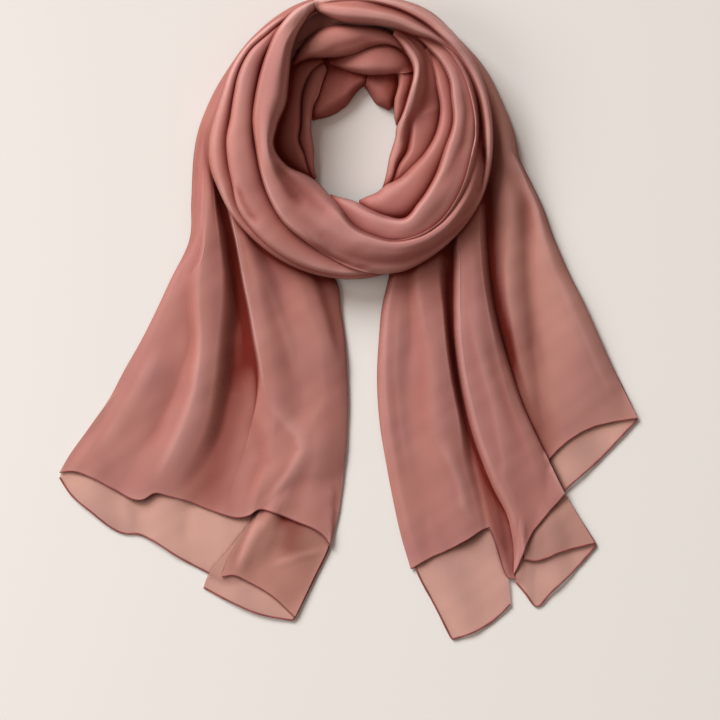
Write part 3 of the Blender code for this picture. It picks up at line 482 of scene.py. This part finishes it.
    read_stretch("loop_middle", Look((0.058, 0.337)), """
    *inner_edge crest shoulder *outer_crease
    -114; 59.5 62 65 69; 10 16 16 12
    -103; 59.5 65 72 81; 10 30 30 16
    -90; 61.5 72 82 95; 8 38 38 18
    -78; 71 81 92 106; 12 44 43 20
    -68; 82 91 101 114; 18 47 46 20
    -59; 92 98 107 120; 22 50 48 20
    -45; 89.5 95 107 123; 22 51 48 20
    -25; 88 94 106 122; 22 52 49 20
    -5; 90.5 96.5 107 122; 22 52 49 20
    10; 99.5 104 112 125; 22 51 48 20
    24; 105.5 110 117 129.5; 22 49 46 22
    32; 111.5 115.5 121.5 131.5; 22 47 44.5 23
    40; 115 118.5 124 133; 22 45 43 24
    50; 117 120.5 125 132; 22 41 40 26
    57; 119 121.5 124.5 129; 22 36 36 26
    64; 119 120.5 122.5 126; 22 28 28 24
    """, creases="""
    -1.2 4 6; 463,84 467,110 463,142 450,172 430,198
    """),
    read_stretch("front_loop_outer", Look((0.072, 0.42)), """
    *hidden broad_crest *groove side_crest *rim
    113; 131 133.5 136 138.5 141; 24 28 27 28 24
    122; 128 132.5 136.5 140 143; 28 42 35 38 22
    130; 124 131.5 135.5 139.5 143; 28 50 38 42 20
    140; 116 130 136.5 140 143.5; 30 55 38 42 19
    150; 108 125.5 133.5 138 142.5; 32 58 37 43 18
    160; 103 119 128.5 134 140.5; 32 59.5 40 45 18
    170; 99 115.5 126 132.5 142; 32 60 42 45.5 17
    180; 97 114 128 135 145.5; 32 60 43 45 16
    190; 95 113.5 128.5 136 147; 32 59.5 42 44 15
    200; 95 115 130 138 145; 32 57.5 41 42 14
    210; 96 120 135 140 144; 32 54 38 38 12
    222; 99 122 136 139.5 142; 32 51 37 35 13
    240; 102 126 136 138.5 140.5; 30 46 33 30 12
    258; 111 130 135.5 137.5 139.3; 26 40 28 24 12
    272; 119 131 134.5 136.5 138.3; 22 33 25 22 12
    283; 123 130 132.5 134.5 136.5; 18 24 20 17 10
    294; 122 126 128 130 132; 14 16 14 12 8
    """, creases="""
    -2.6 3 4; 236,182 244,203 251,215 262,228
    """),
    read_stretch("front_turn", Look((0.068, 0.8)), """
    *inner_edge main_crest middle side_crest *rim
    90; 128 131 134 137 140; 8 12 14 12 8
    98; 131 134 137 140 143; 10 16 18 18 14
    102.5; 133 135.5 138 140.8 143.4; 14 26 29 29 19
    106; 134 136.5 139 141.4 143.8; 16 34 38 38 30
    109.5; 132.5 135 137.6 140.6 143.6; 16 44 49 50 36
    113; 127.5 130.5 134 138.4 142.8; 16 50 54 55 38
    118; 120.5 124.5 129 134.5 140; 14 57 60 61 38
    125; 109 114.5 121 128 134; 12 59 65 63.5 41
    135; 93 99.5 108 117.5 123.5; 12 60.5 67 64.5 44
    150; 79 85.5 95 105 111.5; 12 61 67.5 64.5 46
    170; 79 83.5 90.5 97 103; 12 61 67.5 64.5 46
    185; 81 84.5 89.5 94.3 98.8; 12 60.5 67 64 46
    200; 73 81 89.5 96 99.5; 9 56.5 65.5 64 46
    215; 60.5 76 88.5 99 103.5; 5 51 62.5 63.5 46
    230; 57 76 92 104 109; 4 48 59 62 44
    245; 61 78 94 107 113; 7 49 55 57.5 38
    258; 70 81 96 110 120; 12 51 52 49 32
    270; 87 94 104 116 129; 16 51 50 43 22
    281; 98 104 112 122 136; 18 51 49 41 15
    290; 107 112 119 127 139.5; 18 51 48 39 12
    302; 114 119 125 131 139.2; 18 49 45 36 12
    316; 118 123.5 129 134 139; 18 46 41 32 12
    328; 117.7 124 132.5 136.2 139.2; 18 44 33 29 12
    338; 117.2 123.5 134.6 136.6 139; 18 42 29 29 12
    348; 117 122 132.4 135.2 138.4; 18 39 29 33 12
    355; 118 121.5 129.4 134.2 138; 18 35 29 37 12
    361; 120 123.4 128.4 133.8 138; 18 30 31 39 12
    368; 121.4 125 129.2 134 138.4; 18 29 33 40 12
    380; 123.5 127.2 131.2 135.4 140; 18 32 36 42 12
    395; 127.5 130.3 133 136.5 143; 20 38 41 46 11
    405; 128.5 131 133.4 137 145; 20 44 44 50 9
    412; 126 129.5 132.8 137 146.3; 20 50 44 50 8
    420; 120.5 127 134 138 146.8; 18 55 45 50 8
    430; 118 126.5 136 139 146; 16 58 47 50 8
    440; 116 126 136.8 140 144.5; 16 60 48 51 10
    448; 115 127 138 141 144.2; 16 59 49 51 12
    455; 117.5 129 138.6 141.4 144; 20 55 47 49 14
    460; 122.5 132 139 141.6 144; 26 49 44 46 18
    464; 129 134.6 139.2 141.7 144.2; 30 42 40 40 22
    466.5; 133.5 136.4 139.2 141.8 144.4; 30 34 34 34 24
    """, creases="""
    -3.0 3 5; 357,1 374,4 394,10 412,17 432,29 446,42
    -1.8 3 4; 474,143 484,151 487,166 484,184 477,204
    -2.4 3 4; 378,269 355,267 334,257 316,245 300,229
    -3.0 6 8; 276,160 283,180 293,196 308,208
    1.4 6 10; 300,205 326,226 356,240 392,246
    """),
]

CREASE_FADE = 0.3  # share of a crease's length over which it fades out at each end
CREASE_SHADE = 0.11  # painted shade that each millimetre of a trough adds, and painted highlight for each of a ridge


def smooth_between(at, values, query):
    """Values along a smooth curve through the table's entries (cubic, with slopes from the neighbours)."""
    slopes = np.gradient(values, at)
    k = np.clip(np.searchsorted(at, query) - 1, 0, len(at) - 2)
    span = at[k + 1] - at[k]
    t = np.clip((query - at[k]) / span, 0, 1)
    rest = 1 - t
    start = (1 + 2 * t) * rest**2 * values[k] + t * rest**2 * span * slopes[k]
    end = t**2 * (3 - 2 * t) * values[k + 1] - t**2 * rest * span * slopes[k + 1]
    return start + end


def flank(t, roundness):
    """Rise of a fold from its crease, at 0, to its crest, at 1."""
    return (1 - (1 - t) ** roundness) ** (1 / roundness)


def across_lines(stretch):
    """For each point across a section: the line before it, and its share of the way to the next line."""
    widest = np.diff(stretch.places, axis=1).max(axis=0)
    few_layers = stretch.hem or stretch.name.startswith("hole_back")
    roundness = FLAT_ROUNDNESS if few_layers else ROUNDNESS
    points = []
    for gap, (hard_first, hard_second) in enumerate(zip(stretch.hard, stretch.hard[1:])):
        steps = int(np.clip(math.ceil(widest[gap] / ACROSS_STEP), FEWEST_STEPS, MOST_STEPS))
        for step in range(steps):
            t = step / steps
            if hard_first and not hard_second:
                t = 1 - math.cos(t * math.pi / 2)
                rise = flank(t, roundness)
            elif hard_second and not hard_first:
                t = math.sin(t * math.pi / 2)
                rise = 1 - flank(1 - t, roundness)
            elif hard_first:
                rise = t
            else:
                rise = t * t * (3 - 2 * t)
            points.append((gap, t, rise))
    points.append((len(stretch.hard) - 2, 1.0, 1.0))
    return points


def spaced(places):
    """Places across each section, pushed on where a neighbour comes nearer than the least step."""
    for column in range(1, places.shape[1]):
        places[:, column] = np.maximum(places[:, column], places[:, column - 1] + LEAST_STEP)
    return places


def line_slopes(stretch, places, heights):
    """Slope of the cloth across each line: level at crests, hollows and the lines that are met steeply."""
    slopes = [np.zeros_like(place) for place in places]
    for line in range(1, len(places) - 1):
        if stretch.hard[line]:
            continue
        before, after = (
            (heights[i] - heights[i - 1]) / np.maximum(places[i] - places[i - 1], LEAST_STEP)
            for i in (line, line + 1)
        )
        same = before * after > 0
        slopes[line] = np.where(same, 2 * before * after / np.where(same, before + after, 1), 0)
    return slopes


def read_sections(stretch, at):
    """Place and height of every point across the sections; at has one entry for each row and column."""
    place = np.empty(at.shape)
    height = np.empty(at.shape)
    for column, (gap, t, rise) in enumerate(across_lines(stretch)):
        here = at[:, column]
        line_places = [smooth_between(stretch.at, line, here) for line in stretch.places.T]
        line_heights = [smooth_between(stretch.at, line, here) for line in stretch.heights.T]
        slopes = line_slopes(stretch, line_places, line_heights)
        span = line_places[gap + 1] - line_places[gap]
        place[:, column] = line_places[gap] + t * span
        lean = slopes[gap] * t * (1 - t) ** 2 - slopes[gap + 1] * t**2 * (1 - t)
        step = line_heights[gap + 1] - line_heights[gap]
        steep = np.clip((np.abs(step) - STEEP_FROM) / STEEP_RANGE, 0, 1)
        rise = steep * rise + (1 - steep) * t * t * (3 - 2 * t)
        height[:, column] = line_heights[gap] + rise * step + span * lean
    return spaced(place), height


def ring_grid(stretch):
    """x, y and underside height of the points of a stretch round the ring, one row for each angle."""
    columns = len(across_lines(stretch))
    first, last = stretch.at[[0, -1]]
    rows = int(math.radians(last - first) * stretch.places.max() / ALONG_STEP)
    at = np.repeat(np.linspace(first, last, rows + 1)[:, None], columns, axis=1)
    radius, height = read_sections(stretch, at)
    x = RING_CENTRE[0] + radius * np.cos(np.radians(at))
    y = RING_CENTRE[1] - radius * np.sin(np.radians(at))
    return x, y, height


def bent(x, y):
    """Points of a tail whose part above the ring's middle turns round the ring, not straight up."""
    turn = np.maximum(RING_CENTRE[1] - y, 0) / TURN_RADIUS
    out = x - RING_CENTRE[0]
    x = np.where(turn > 0, RING_CENTRE[0] + out * np.cos(turn), x)
    y = np.where(turn > 0, RING_CENTRE[1] - np.abs(out) * np.sin(turn), y)
    return x, y


def tail_grid(stretch):
    """The same for a tail, whose columns each end on the hem."""
    columns = len(across_lines(stretch))
    top = stretch.at[0]
    hem_x, hem_y = np.array(stretch.hem).T
    rows = int((hem_y.max() - top) / ALONG_STEP)
    down = np.linspace(0, 1, rows + 1)[:, None]
    ends = np.full(columns, hem_y.mean())
    for _ in range(HEM_PASSES):
        y = top + down * (ends - top)
        x, height = read_sections(stretch, y)
        ends = 0.5 * (ends + smooth_between(hem_x, hem_y, np.clip(x[-1], hem_x[0], hem_x[-1])))
    return (*bent(x, y), height)


def corners(values):
    """A grid's values at the four corners of each face, each with an axis for the samples."""
    parts = (values[:-1, :-1], values[1:, :-1], values[:-1, 1:], values[1:, 1:])
    return [part[..., None] for part in parts]


class Pile:
    """Height map of all that has been laid down, starting with the bare surface."""

    def __init__(self):
        side = int((PILE_SIZE + 2 * PILE_MARGIN) / RASTER)
        self.top = np.zeros((side, side))

    def cell(self, x, y):
        """Row and column of the cells that hold the plan points."""
        column = ((x + PILE_MARGIN) / RASTER).astype(int)
        row = ((y + PILE_MARGIN) / RASTER).astype(int)
        return row, column

    def add(self, x, y, top):
        """Marks a grid's top in every cell that it covers."""
        along = np.hypot(np.diff(x, axis=0), np.diff(y, axis=0)).max()
        across = np.hypot(np.diff(x, axis=1), np.diff(y, axis=1)).max()
        s, t = (np.linspace(0, 1, int(reach / RASTER) + 2) for reach in (along, across))
        s, t = (part.ravel() for part in np.meshgrid(s, t, indexing="ij"))
        shares = [(1 - s) * (1 - t), s * (1 - t), (1 - s) * t, s * t]
        x, y, top = (sum(c * share for c, share in zip(corners(part), shares)) for part in (x, y, top))
        np.maximum.at(self.top, self.cell(x, y), top)

    def widened(self):
        """Each cell's highest neighbour, so that a steep side keeps its distance in plan as well."""
        wide = self.top.copy()
        for axis in (0, 1):
            ahead = np.roll(wide, 1, axis)
            behind = np.roll(wide, -1, axis)
            wide = np.maximum(wide, np.maximum(ahead, behind))
        return wide

    def raised(self, x, y, under):
        """The underside, raised to lie on the pile, with each lift spread softly to its neighbours."""
        floor = self.widened()[self.cell(x, y)]
        floor = np.where(floor > 0, floor + LAY_GAP, 0)
        lift = np.maximum(floor - under, 0)
        for _ in range(SETTLE_PASSES):
            lift = np.maximum(lift, neighbours_mean(lift))
        return under + 0.5 * (lift + neighbours_mean(lift))


def neighbours_mean(values):
    """Mean of the four neighbours of each point of a grid."""
    wide = np.pad(values, 1, mode="edge")
    return (wide[:-2, 1:-1] + wide[2:, 1:-1] + wide[1:-1, :-2] + wide[1:-1, 2:]) / 4


def normals(points):
    """Unit normals, facing up, of a grid of points with the axes row, column, xyz."""
    along = np.gradient(points, axis=0)
    across = np.gradient(points, axis=1)
    return unit(np.cross(along, across))


def unit(vectors):
    """Vectors drawn out to a length of 1."""
    return vectors / np.maximum(np.linalg.norm(vectors, axis=-1, keepdims=True), LENGTH_LEAST)


def creased(stretch, x, y, as_shade=False):
    """Height that a stretch's own creases add to it, or the height that sets their painted shade and
    highlight.
    """
    relief = np.zeros_like(x)
    for crease in stretch.creases:
        line = crease.points
        ends = np.concatenate(([0], np.cumsum(np.hypot(*np.diff(line, axis=0).T))))
        nearest = np.full(x.shape, np.inf)
        share = np.zeros_like(x)
        for begin, end, first, last in zip(line, line[1:], ends, ends[1:]):
            step = (end - begin) / (last - first)
            out_x, out_y = x - begin[0], y - begin[1]
            along = np.clip(out_x * step[0] + out_y * step[1], 0, last - first)
            away = np.hypot(out_x - along * step[0], out_y - along * step[1])
            before = step[0] * out_y - step[1] * out_x > 0
            reach = away / np.where(before, crease.before, crease.after)
            share = np.where(reach < nearest, (first + along) / ends[-1], share)
            nearest = np.minimum(nearest, reach)
        fade = np.clip(np.minimum(share, 1 - share) / CREASE_FADE, 0, 1)
        height = crease.height * (crease.redder if as_shade else 1)
        relief += height * np.exp(-nearest**2) * fade * fade * (3 - 2 * fade)
    return relief


def wall_above(x, y, under):
    """Top side of the cloth: the wall is measured square to it, so it is thicker upright on a slope."""
    upright = np.abs(normals(np.stack((x, y, under), axis=-1))[..., 2])
    return under + WALL * np.minimum(1 / np.maximum(upright, LEVEL_LEAST), STEEPEST)


def pass_over_start(pile, x, y, under, degrees):
    """The underside of a turn that goes more than once round, its end raised to lie on its own start."""
    rows = int(len(x) * LAP_DEGREES / degrees)
    start = np.s_[:rows]
    end = np.s_[-rows:]
    pile.add(x[start], y[start], wall_above(x, y, under)[start])
    under[end] = pile.raised(x[end], y[end], under[end])
    return under


def world(x, y, z):
    """Plan millimetres as a stack of world points in metres."""
    return np.stack(((x - PLAN_ORIGIN[0]) * MM, (PLAN_ORIGIN[1] - y) * MM, z * MM), axis=-1)


def skirted(points, under):
    """A grid of points whose two long edges go on down to the underside, as cloth turns under."""
    foot = points.copy()
    foot[..., 2] = np.minimum(under * MM + CLOTH * MM, points[..., 2])
    return np.concatenate((foot[:, :1], points, foot[:, -1:]), axis=1)


def shell_mesh(name, points):
    """A closed thin shell: a grid of points is its top, and its other side lies a cloth's thickness below."""
    rows, columns = points.shape[:2]
    below = points - normals(points) * CLOTH * MM
    index = np.arange(rows * columns).reshape(rows, columns)
    other = index + rows * columns

    def quads(grid, flip):
        a, b, c, d = grid[:-1, :-1], grid[1:, :-1], grid[1:, 1:], grid[:-1, 1:]
        order = (d, c, b, a) if flip else (a, b, c, d)
        return np.stack(order, axis=-1).reshape(-1, 4)

    edge = np.concatenate((index[0, :-1], index[:-1, -1], index[-1, :0:-1], index[:0:-1, 0]))
    following = np.roll(edge, -1)
    rim = np.stack((edge, following, following + rows * columns, edge + rows * columns), axis=-1)
    faces = np.concatenate((quads(index, False), quads(other, True), rim))
    mesh = smooth_mesh(name, np.concatenate((points.reshape(-1, 3), below.reshape(-1, 3))), faces.tolist())
    mesh.set_sharp_from_angle(angle=math.radians(SHARP_FROM))
    return mesh


def smooth_mesh(name, vertices, faces):
    """A mesh that is shaded smooth."""
    mesh = bpy.data.meshes.new(name)
    mesh.from_pydata(vertices.tolist(), [], faces)
    mesh.update()
    mesh.shade_smooth()
    return mesh


def tube_mesh(name, path, radius):
    """A closed tube of slightly uneven thickness along a path of world points."""
    step = unit(np.gradient(path, axis=0))
    side = unit(np.cross(step, (0, 0, 1)))
    up = np.cross(side, step)
    far = np.concatenate(([0], np.cumsum(np.linalg.norm(np.diff(path, axis=0), axis=1)))) / MM
    long, short = HEM_WAVES
    thick = radius * (1 + HEM_WAVER * (np.sin(far / long) + np.sin(far / short + 1)) / 2)
    turn = np.linspace(0, 2 * math.pi, HEM_SIDES, endpoint=False)
    ring = path[:, None] + thick[:, None, None] * (
        side[:, None] * np.cos(turn)[None, :, None] + up[:, None] * np.sin(turn)[None, :, None]
    )
    index = np.arange(len(path) * HEM_SIDES).reshape(-1, HEM_SIDES)
    after = np.roll(index, -1, axis=1)
    faces = np.stack((index[:-1], index[1:], after[1:], after[:-1]), axis=-1).reshape(-1, 4).tolist()
    faces.append(index[0].tolist())
    faces.append(index[-1, ::-1].tolist())
    return smooth_mesh(name, ring.reshape(-1, 3), faces)


def hem_path(points, hems):
    """The points along a shell's hemmed edges, one after the other."""
    parts = []
    if "first" in hems:
        parts.append(points[-HEM_SIDE_ROWS:, 0])
    if "end" in hems:
        parts.append(points[-1])
    if "last" in hems:
        parts.append(points[: -HEM_SIDE_ROWS - 1 : -1, -1])
    path = np.concatenate(parts)
    steps = np.linalg.norm(np.diff(path, axis=0), axis=1)
    return path[np.concatenate(([True], steps > HEM_LEAST_STEP * MM))]


def rounded(path, passes):
    """A path with its corners evened out."""
    for _ in range(passes):
        path[1:-1] = (path[:-2] + 2 * path[1:-1] + path[2:]) / 4
    return path


# Materials

ROSE_LIT = (0.43, 0.155, 0.124)  # base colour on the folds' sides, linear RGB
ROSE_SHADED = (0.17, 0.017, 0.009)  # painted shade, darker and redder, where the cloth lies deep between folds and in hollows
ROSE_HIGHLIGHT = (0.61, 0.325, 0.288)  # painted highlight on open crests
ROSE_MAUVE = (0.35, 0.128, 0.126)  # cooler patches
SHEER_LIT = (0.80, 0.435, 0.335)  # one or two layers over the pale surface
SHEER_FROM, SHEER_FULL = 0.1, 0.5  # shares of light let by: cloth looks paler from here, and all of it here
HEM_ROSE = (0.23, 0.058, 0.052)  # the rolled hem's many layers
HEM_PALER = 1.35  # its paler patches are so many times as bright

CHIFFON_SHADER = {
    "Roughness": 0.72,
    "Specular IOR Level": 0.12,
    "Sheen Weight": 0.14,
    "Sheen Roughness": 0.45,
    "Sheen Tint": (0.95, 0.72, 0.66, 1),
}
PATCHES = {"Scale": 11, "Detail": 2}  # the cooler patches are about a decimetre wide
PATCH_RAMP = {"From Min": 0.42, "From Max": 0.72, "To Max": 0.45}  # from the noise to the share of mauve
HIGHLIGHT_RAMP = {"From Min": 0.0, "From Max": -1.0}  # from the painted shade value to the share of painted highlight
CRINKLE = {"Scale": 420, "Detail": 3}  # 2 to 3 mm apart
WEAVE = {"Scale": 140, "Distortion": 1.2}  # its bands are 2.2 mm apart: single threads are too fine to show
WEAVE_RELIEF = 0.3  # their height against the crinkles'
CHIFFON_BUMP = {"Strength": 0.35, "Distance": 0.2 * MM}

HEM_SHADER = {"Roughness": 0.7, "Specular IOR Level": 0.25, "Sheen Weight": 0.15}
HEM_PATCHES = {"Scale": 30, "Distortion": 2}  # about 2 cm apart
HEM_BUMP = {"Strength": 0.4, "Distance": 0.3 * MM}


def material_of(name, settings):
    """A new material and its shader."""
    material = bpy.data.materials.new(name)
    material.use_nodes = True
    return material, set_inputs(material.node_tree.nodes["Principled BSDF"], settings)


def set_inputs(node, values):
    """Sets a node's inputs: a socket that is given as a value is linked to its input."""
    for name, value in values.items():
        if isinstance(value, bpy.types.NodeSocket):
            node.id_data.links.new(value, node.inputs[name])
        else:
            node.inputs[name].default_value = value
    return node


def add_node(material, kind, values, **options):
    """A new node of a material, given as its first output that is in use."""
    node = material.node_tree.nodes.new(f"ShaderNode{kind}")
    for name, value in options.items():
        setattr(node, name, value)
    set_inputs(node, values)
    return next(output for output in node.outputs if output.enabled)


def mixed(material, share, first, second):
    """The colour that a share mixes from two others."""
    return add_node(material, "Mix", {"Factor": share, "A": first, "B": second}, data_type="RGBA")


def object_place(material):
    """The place on the object, in metres."""
    return material.node_tree.nodes.new("ShaderNodeTexCoord").outputs["Object"]


def cloth_material(name, lit, alpha):
    """Chiffon: a fine plain weave with a soft crinkle, with painted shade, redder and darker, where the cloth
    lies deep, and a painted highlight on open crests.
    """
    material, shader = material_of(name, {**CHIFFON_SHADER, "Alpha": alpha})
    place = object_place(material)
    shading = material.node_tree.nodes.new("ShaderNodeAttribute")
    shading.attribute_name = "fold_depth"
    shading = shading.outputs["Fac"]

    cloud = add_node(material, "TexNoise", {**PATCHES, "Vector": place})
    patch = add_node(material, "MapRange", {**PATCH_RAMP, "Value": cloud})
    tint = mixed(material, patch, (*lit, 1), (*ROSE_MAUVE, 1))
    # Painted highlight on crests, then painted shade in hollows, from the stored value.
    highlight_share = add_node(material, "MapRange", {**HIGHLIGHT_RAMP, "Value": shading})
    crest = mixed(material, highlight_share, tint, (*ROSE_HIGHLIGHT, 1))
    shade = mixed(material, shading, crest, (*ROSE_SHADED, 1))

    crinkle = add_node(material, "TexNoise", {**CRINKLE, "Vector": place})
    across, along = (wave_factor(material, {**WEAVE, "Vector": place}, axis) for axis in ("X", "Y"))
    weave = add_node(material, "Math", {0: across, 1: along}, operation="MULTIPLY")
    relief = add_node(material, "Math", {0: weave, 1: WEAVE_RELIEF, 2: crinkle}, operation="MULTIPLY_ADD")
    bump = add_node(material, "Bump", {**CHIFFON_BUMP, "Height": relief})
    set_inputs(shader, {"Base Color": shade, "Normal": bump})
    return material


def wave_factor(material, settings, direction):
    """The brightness of a wave texture's bands."""
    wave = material.node_tree.nodes.new("ShaderNodeTexWave")
    wave.bands_direction = direction
    return set_inputs(wave, settings).outputs["Fac"]


def hem_material():
    """Rolled hem: the same cloth in many layers, a little paler in patches along it."""
    material, shader = material_of("rolled_hem", HEM_SHADER)
    patches = wave_factor(material, {**HEM_PATCHES, "Vector": object_place(material)}, "DIAGONAL")
    paler = [HEM_PALER * part for part in HEM_ROSE]
    tint = mixed(material, patches, (*HEM_ROSE, 1), (*paler, 1))
    bump = add_node(material, "Bump", {**HEM_BUMP, "Height": patches})
    set_inputs(shader, {"Base Color": tint, "Normal": bump})
    return material


@cache
def cloth_of(sheer):
    """Chiffon whose shell lets this share of light by on each side: the more it does, the paler it looks."""
    thin = min(max((sheer - SHEER_FROM) / (SHEER_FULL - SHEER_FROM), 0), 1)
    lit = [rose + thin * (pale - rose) for rose, pale in zip(ROSE_LIT, SHEER_LIT)]
    return cloth_material(f"chiffon_{int(100 * sheer)}", lit, 1 - sheer)


# Stage

FLOOR_HALF = 6.0  # half the floor's side, m
FLOOR_DROP = 0.2  # it lies this far below the scarf, mm
FLOOR_SHADER = {"Base Color": (0.80, 0.755, 0.705, 1), "Roughness": 0.9, "Specular IOR Level": 0.1}
SKY = {"Color": (1.0, 0.85, 0.76, 1), "Strength": 0.27}
KEY_PLACE = (-1.9, 2.3, 1.95)  # of the sun from the upper left, m
KEY = {"energy": 3.55, "angle": 0.5, "color": (0.93, 0.97, 1.0)}  # W/m2, radians
SIDE_PLACE = (-1.6, 0.1, 1.2)  # of the broad lamp at the left, m
SIDE = {"size": 1.2, "energy": 13.0}  # m, W


def make_stage():
    """A pale warm floor, with soft light from the upper left and a little from everywhere."""
    mesh = bpy.data.meshes.new("floor")
    half = FLOOR_HALF
    square = [(-half, -half, 0), (half, -half, 0), (half, half, 0), (-half, half, 0)]
    mesh.from_pydata(square, [], [(0, 1, 2, 3)])
    mesh.materials.append(material_of("floor", FLOOR_SHADER)[0])
    floor = show(bpy.data.objects.new("floor", mesh))
    floor.location.z = cad_low.z - FLOOR_DROP * MM

    sky = bpy.data.worlds.new("soft_light")
    bpy.context.scene.world = sky
    sky.use_nodes = True
    set_inputs(sky.node_tree.nodes["Background"], SKY)
    hang("key", "SUN", KEY_PLACE, KEY)
    hang("side", "AREA", SIDE_PLACE, SIDE)
    bpy.context.scene.view_settings.view_transform = "Standard"


def hang(name, kind, place, settings):
    """Hangs a lamp at a place, pointed at the middle of the scarf."""
    lamp = bpy.data.lights.new(name, kind)
    for setting, value in settings.items():
        setattr(lamp, setting, value)
    light = show(bpy.data.objects.new(name, lamp))
    light.location = place
    light.rotation_euler = (Vector(place) * -1).to_track_quat("-Z", "Y").to_euler()


def show(item):
    """Puts an object in the scene."""
    bpy.context.scene.collection.objects.link(item)
    return item


def make_camera():
    """Straight above, framed on a square of the surface as wide as the photograph."""
    camera = bpy.data.cameras.new("camera")
    camera.lens = LENS
    camera.sensor_width = SENSOR
    view = bpy.data.objects.new("camera", camera)
    middle = (0.5 * FRAME_SIDE - PLAN_ORIGIN[0], PLAN_ORIGIN[1] - 0.5 * FRAME_SIDE)
    height = FRAME_SIDE * LENS / SENSOR + SHARP_HEIGHT
    view.location = (middle[0] * MM, middle[1] * MM, height * MM)
    camera.clip_end = FAR_END
    show(view)
    bpy.context.scene.camera = view


# Assembly


def fold_depth(blurs, pile, x, y, top, relief, base):
    """-1, a painted highlight on open crests, to 1, painted shade deep between folds, from the height over
    the mean around and the hidden sky.
    """
    share = np.zeros_like(top)
    for blur, (_, full) in zip(blurs, DEPTH_READINGS):
        share = share + np.clip((blur[pile.cell(x, y)] - top) / (full * relief), -1, 1)
    share = share / len(DEPTH_READINGS)
    return np.clip(base + share + SHUT_WEIGHT * (shut_out(pile, x, y, top) - SHUT_FROM), -1, 1)


def shut_out(pile, x, y, top):
    """Share of an even sky that the cloth around each point hides from it."""
    total = np.zeros_like(top)
    for side in range(SKY_SIDES):
        angle = 2 * math.pi * side / SKY_SIDES
        steepest = np.zeros_like(top)
        for reach in SKY_REACHES:
            cell = pile.cell(x + reach * math.cos(angle), y + reach * math.sin(angle))
            steepest = np.maximum(steepest, (pile.top[cell] - top) / reach)
        total += steepest**2 / (1 + steepest**2)
    return total / SKY_SIDES


def blurred(values, reach):
    """Running mean of a height map over a square of so many mm to each side."""
    cells = int(reach / RASTER)
    for axis in (0, 1):
        total = np.cumsum(np.insert(values, 0, 0, axis=axis), axis=axis)
        wide = 2 * cells + 1
        ahead = np.take(total, range(wide, total.shape[axis]), axis=axis)
        means = (ahead - np.take(total, range(total.shape[axis] - wide), axis=axis)) / wide
        pad = [(0, 0), (0, 0)]
        pad[axis] = (cells, cells)
        values = np.pad(means, pad, mode="edge")
    return values


def add_piece(name, mesh, material):
    """A new piece of the scarf, which rides on its one body."""
    mesh.materials.append(material)
    piece = show(bpy.data.objects.new(name, mesh))
    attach(piece, "root")
    return piece


def uneven(x, y):
    """Slight rise and fall of cloth that hasn't been pressed, mm."""
    relief = np.zeros_like(x)
    for length, slant, phase, height in UNEVEN_WAVES:
        along = x * math.cos(slant) + y * math.sin(slant)
        bend = np.sin(along / length * UNEVEN_BEND)
        relief += height * np.sin(2 * math.pi * along / length + phase + bend)
    return relief


def lay_all():
    """Every stretch with its grid's x, y, underside and top, laid down in order, and the finished pile."""
    pile = Pile()
    pile.add(*ring_grid(CORE))
    laid = []
    for stretch in STRETCHES:
        x, y, under = tail_grid(stretch) if stretch.hem else ring_grid(stretch)
        under = under + uneven(x, y) + creased(stretch, x, y)
        under = pile.raised(x, y, under)
        if stretch.name == "front_turn":
            under = pass_over_start(pile, x, y, under, stretch.at[-1] - stretch.at[0])
        under = np.maximum(under, 0)
        top = wall_above(x, y, under)
        pile.add(x, y, top)
        laid.append((stretch, x, y, under, top))
    return laid, pile


def painted_shading_of(stretch, blurs, pile, x, y, top):
    """Painted shade of each point of a stretch, for its colour: -1 a painted highlight, 1 full painted shade.
    """
    # Painted shade all over and from the creases, then from the folds and the hidden sky.
    base = stretch.look.deep - CREASE_SHADE * creased(stretch, x, y, as_shade=True)
    if not stretch.hem:
        return fold_depth(blurs, pile, x, y, top, 1, base)
    shading = fold_depth(blurs, pile, x, y, top, TAIL_RELIEF, base)
    return np.minimum(shading, np.clip((y - OPEN_FROM) / OPEN_RANGE, OPEN_DEEP, 1))


def store_painted_shading(mesh, shading):
    """Keeps the painted shade and highlight of a shell's top points on the mesh, for both its sides and its
    turned edges.
    """
    shading = np.concatenate((shading[:, :1], shading, shading[:, -1:]), axis=1).ravel()
    store = mesh.attributes.new("fold_depth", "FLOAT", "POINT")
    store.data.foreach_set("value", np.concatenate((shading, shading)).astype(np.float32))


def make_hem(name, look, points, material):
    """The rolled hem along a shell's hemmed edges."""
    radius = BACK_HEM_RADIUS if look.sheer > BACK_SHEER else HEM_RADIUS
    path = rounded(hem_path(points, look.hems), HEM_ROUNDINGS)
    hem = add_piece(f"hem_{name}", tube_mesh(f"hem_{name}", path, radius * MM), material)
    return hem


def make_core_piece():
    """The hidden turns: a cloth shell on the core's rounded form, seen only deep between the folds."""
    x, y, top = ring_grid(CORE)
    full = skirted(world(x, y, top - LAY_GAP), np.zeros_like(top))
    piece = add_piece("cloth_ring_core", shell_mesh("ring_core", full), cloth_of(CORE.look.sheer))
    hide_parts("ring_core")


def clear_startup():
    """Removes what a new Blender file holds, if this runs in one."""
    for name in ("Cube", "Light", "Camera"):
        if name in bpy.data.objects:
            bpy.data.objects.remove(bpy.data.objects[name], do_unlink=True)


def main():
    """Dresses every stretch and the core, and sets the stage and the camera."""
    clear_startup()
    laid, pile = lay_all()
    blurs = [blurred(pile.top, reach) for reach, _ in DEPTH_READINGS]
    hem_finish = hem_material()
    for stretch, x, y, under, top in laid:
        look = stretch.look
        points = world(x, y, top)
        mesh = shell_mesh(stretch.name, skirted(points, under))
        store_painted_shading(mesh, painted_shading_of(stretch, blurs, pile, x, y, top))
        piece = add_piece(f"cloth_{stretch.name}", mesh, cloth_of(look.sheer))
        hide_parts(stretch.name)
        hems = [make_hem(stretch.name, look, points, hem_finish)] if look.hems else []
    make_core_piece()
    make_stage()
    make_camera()


main()
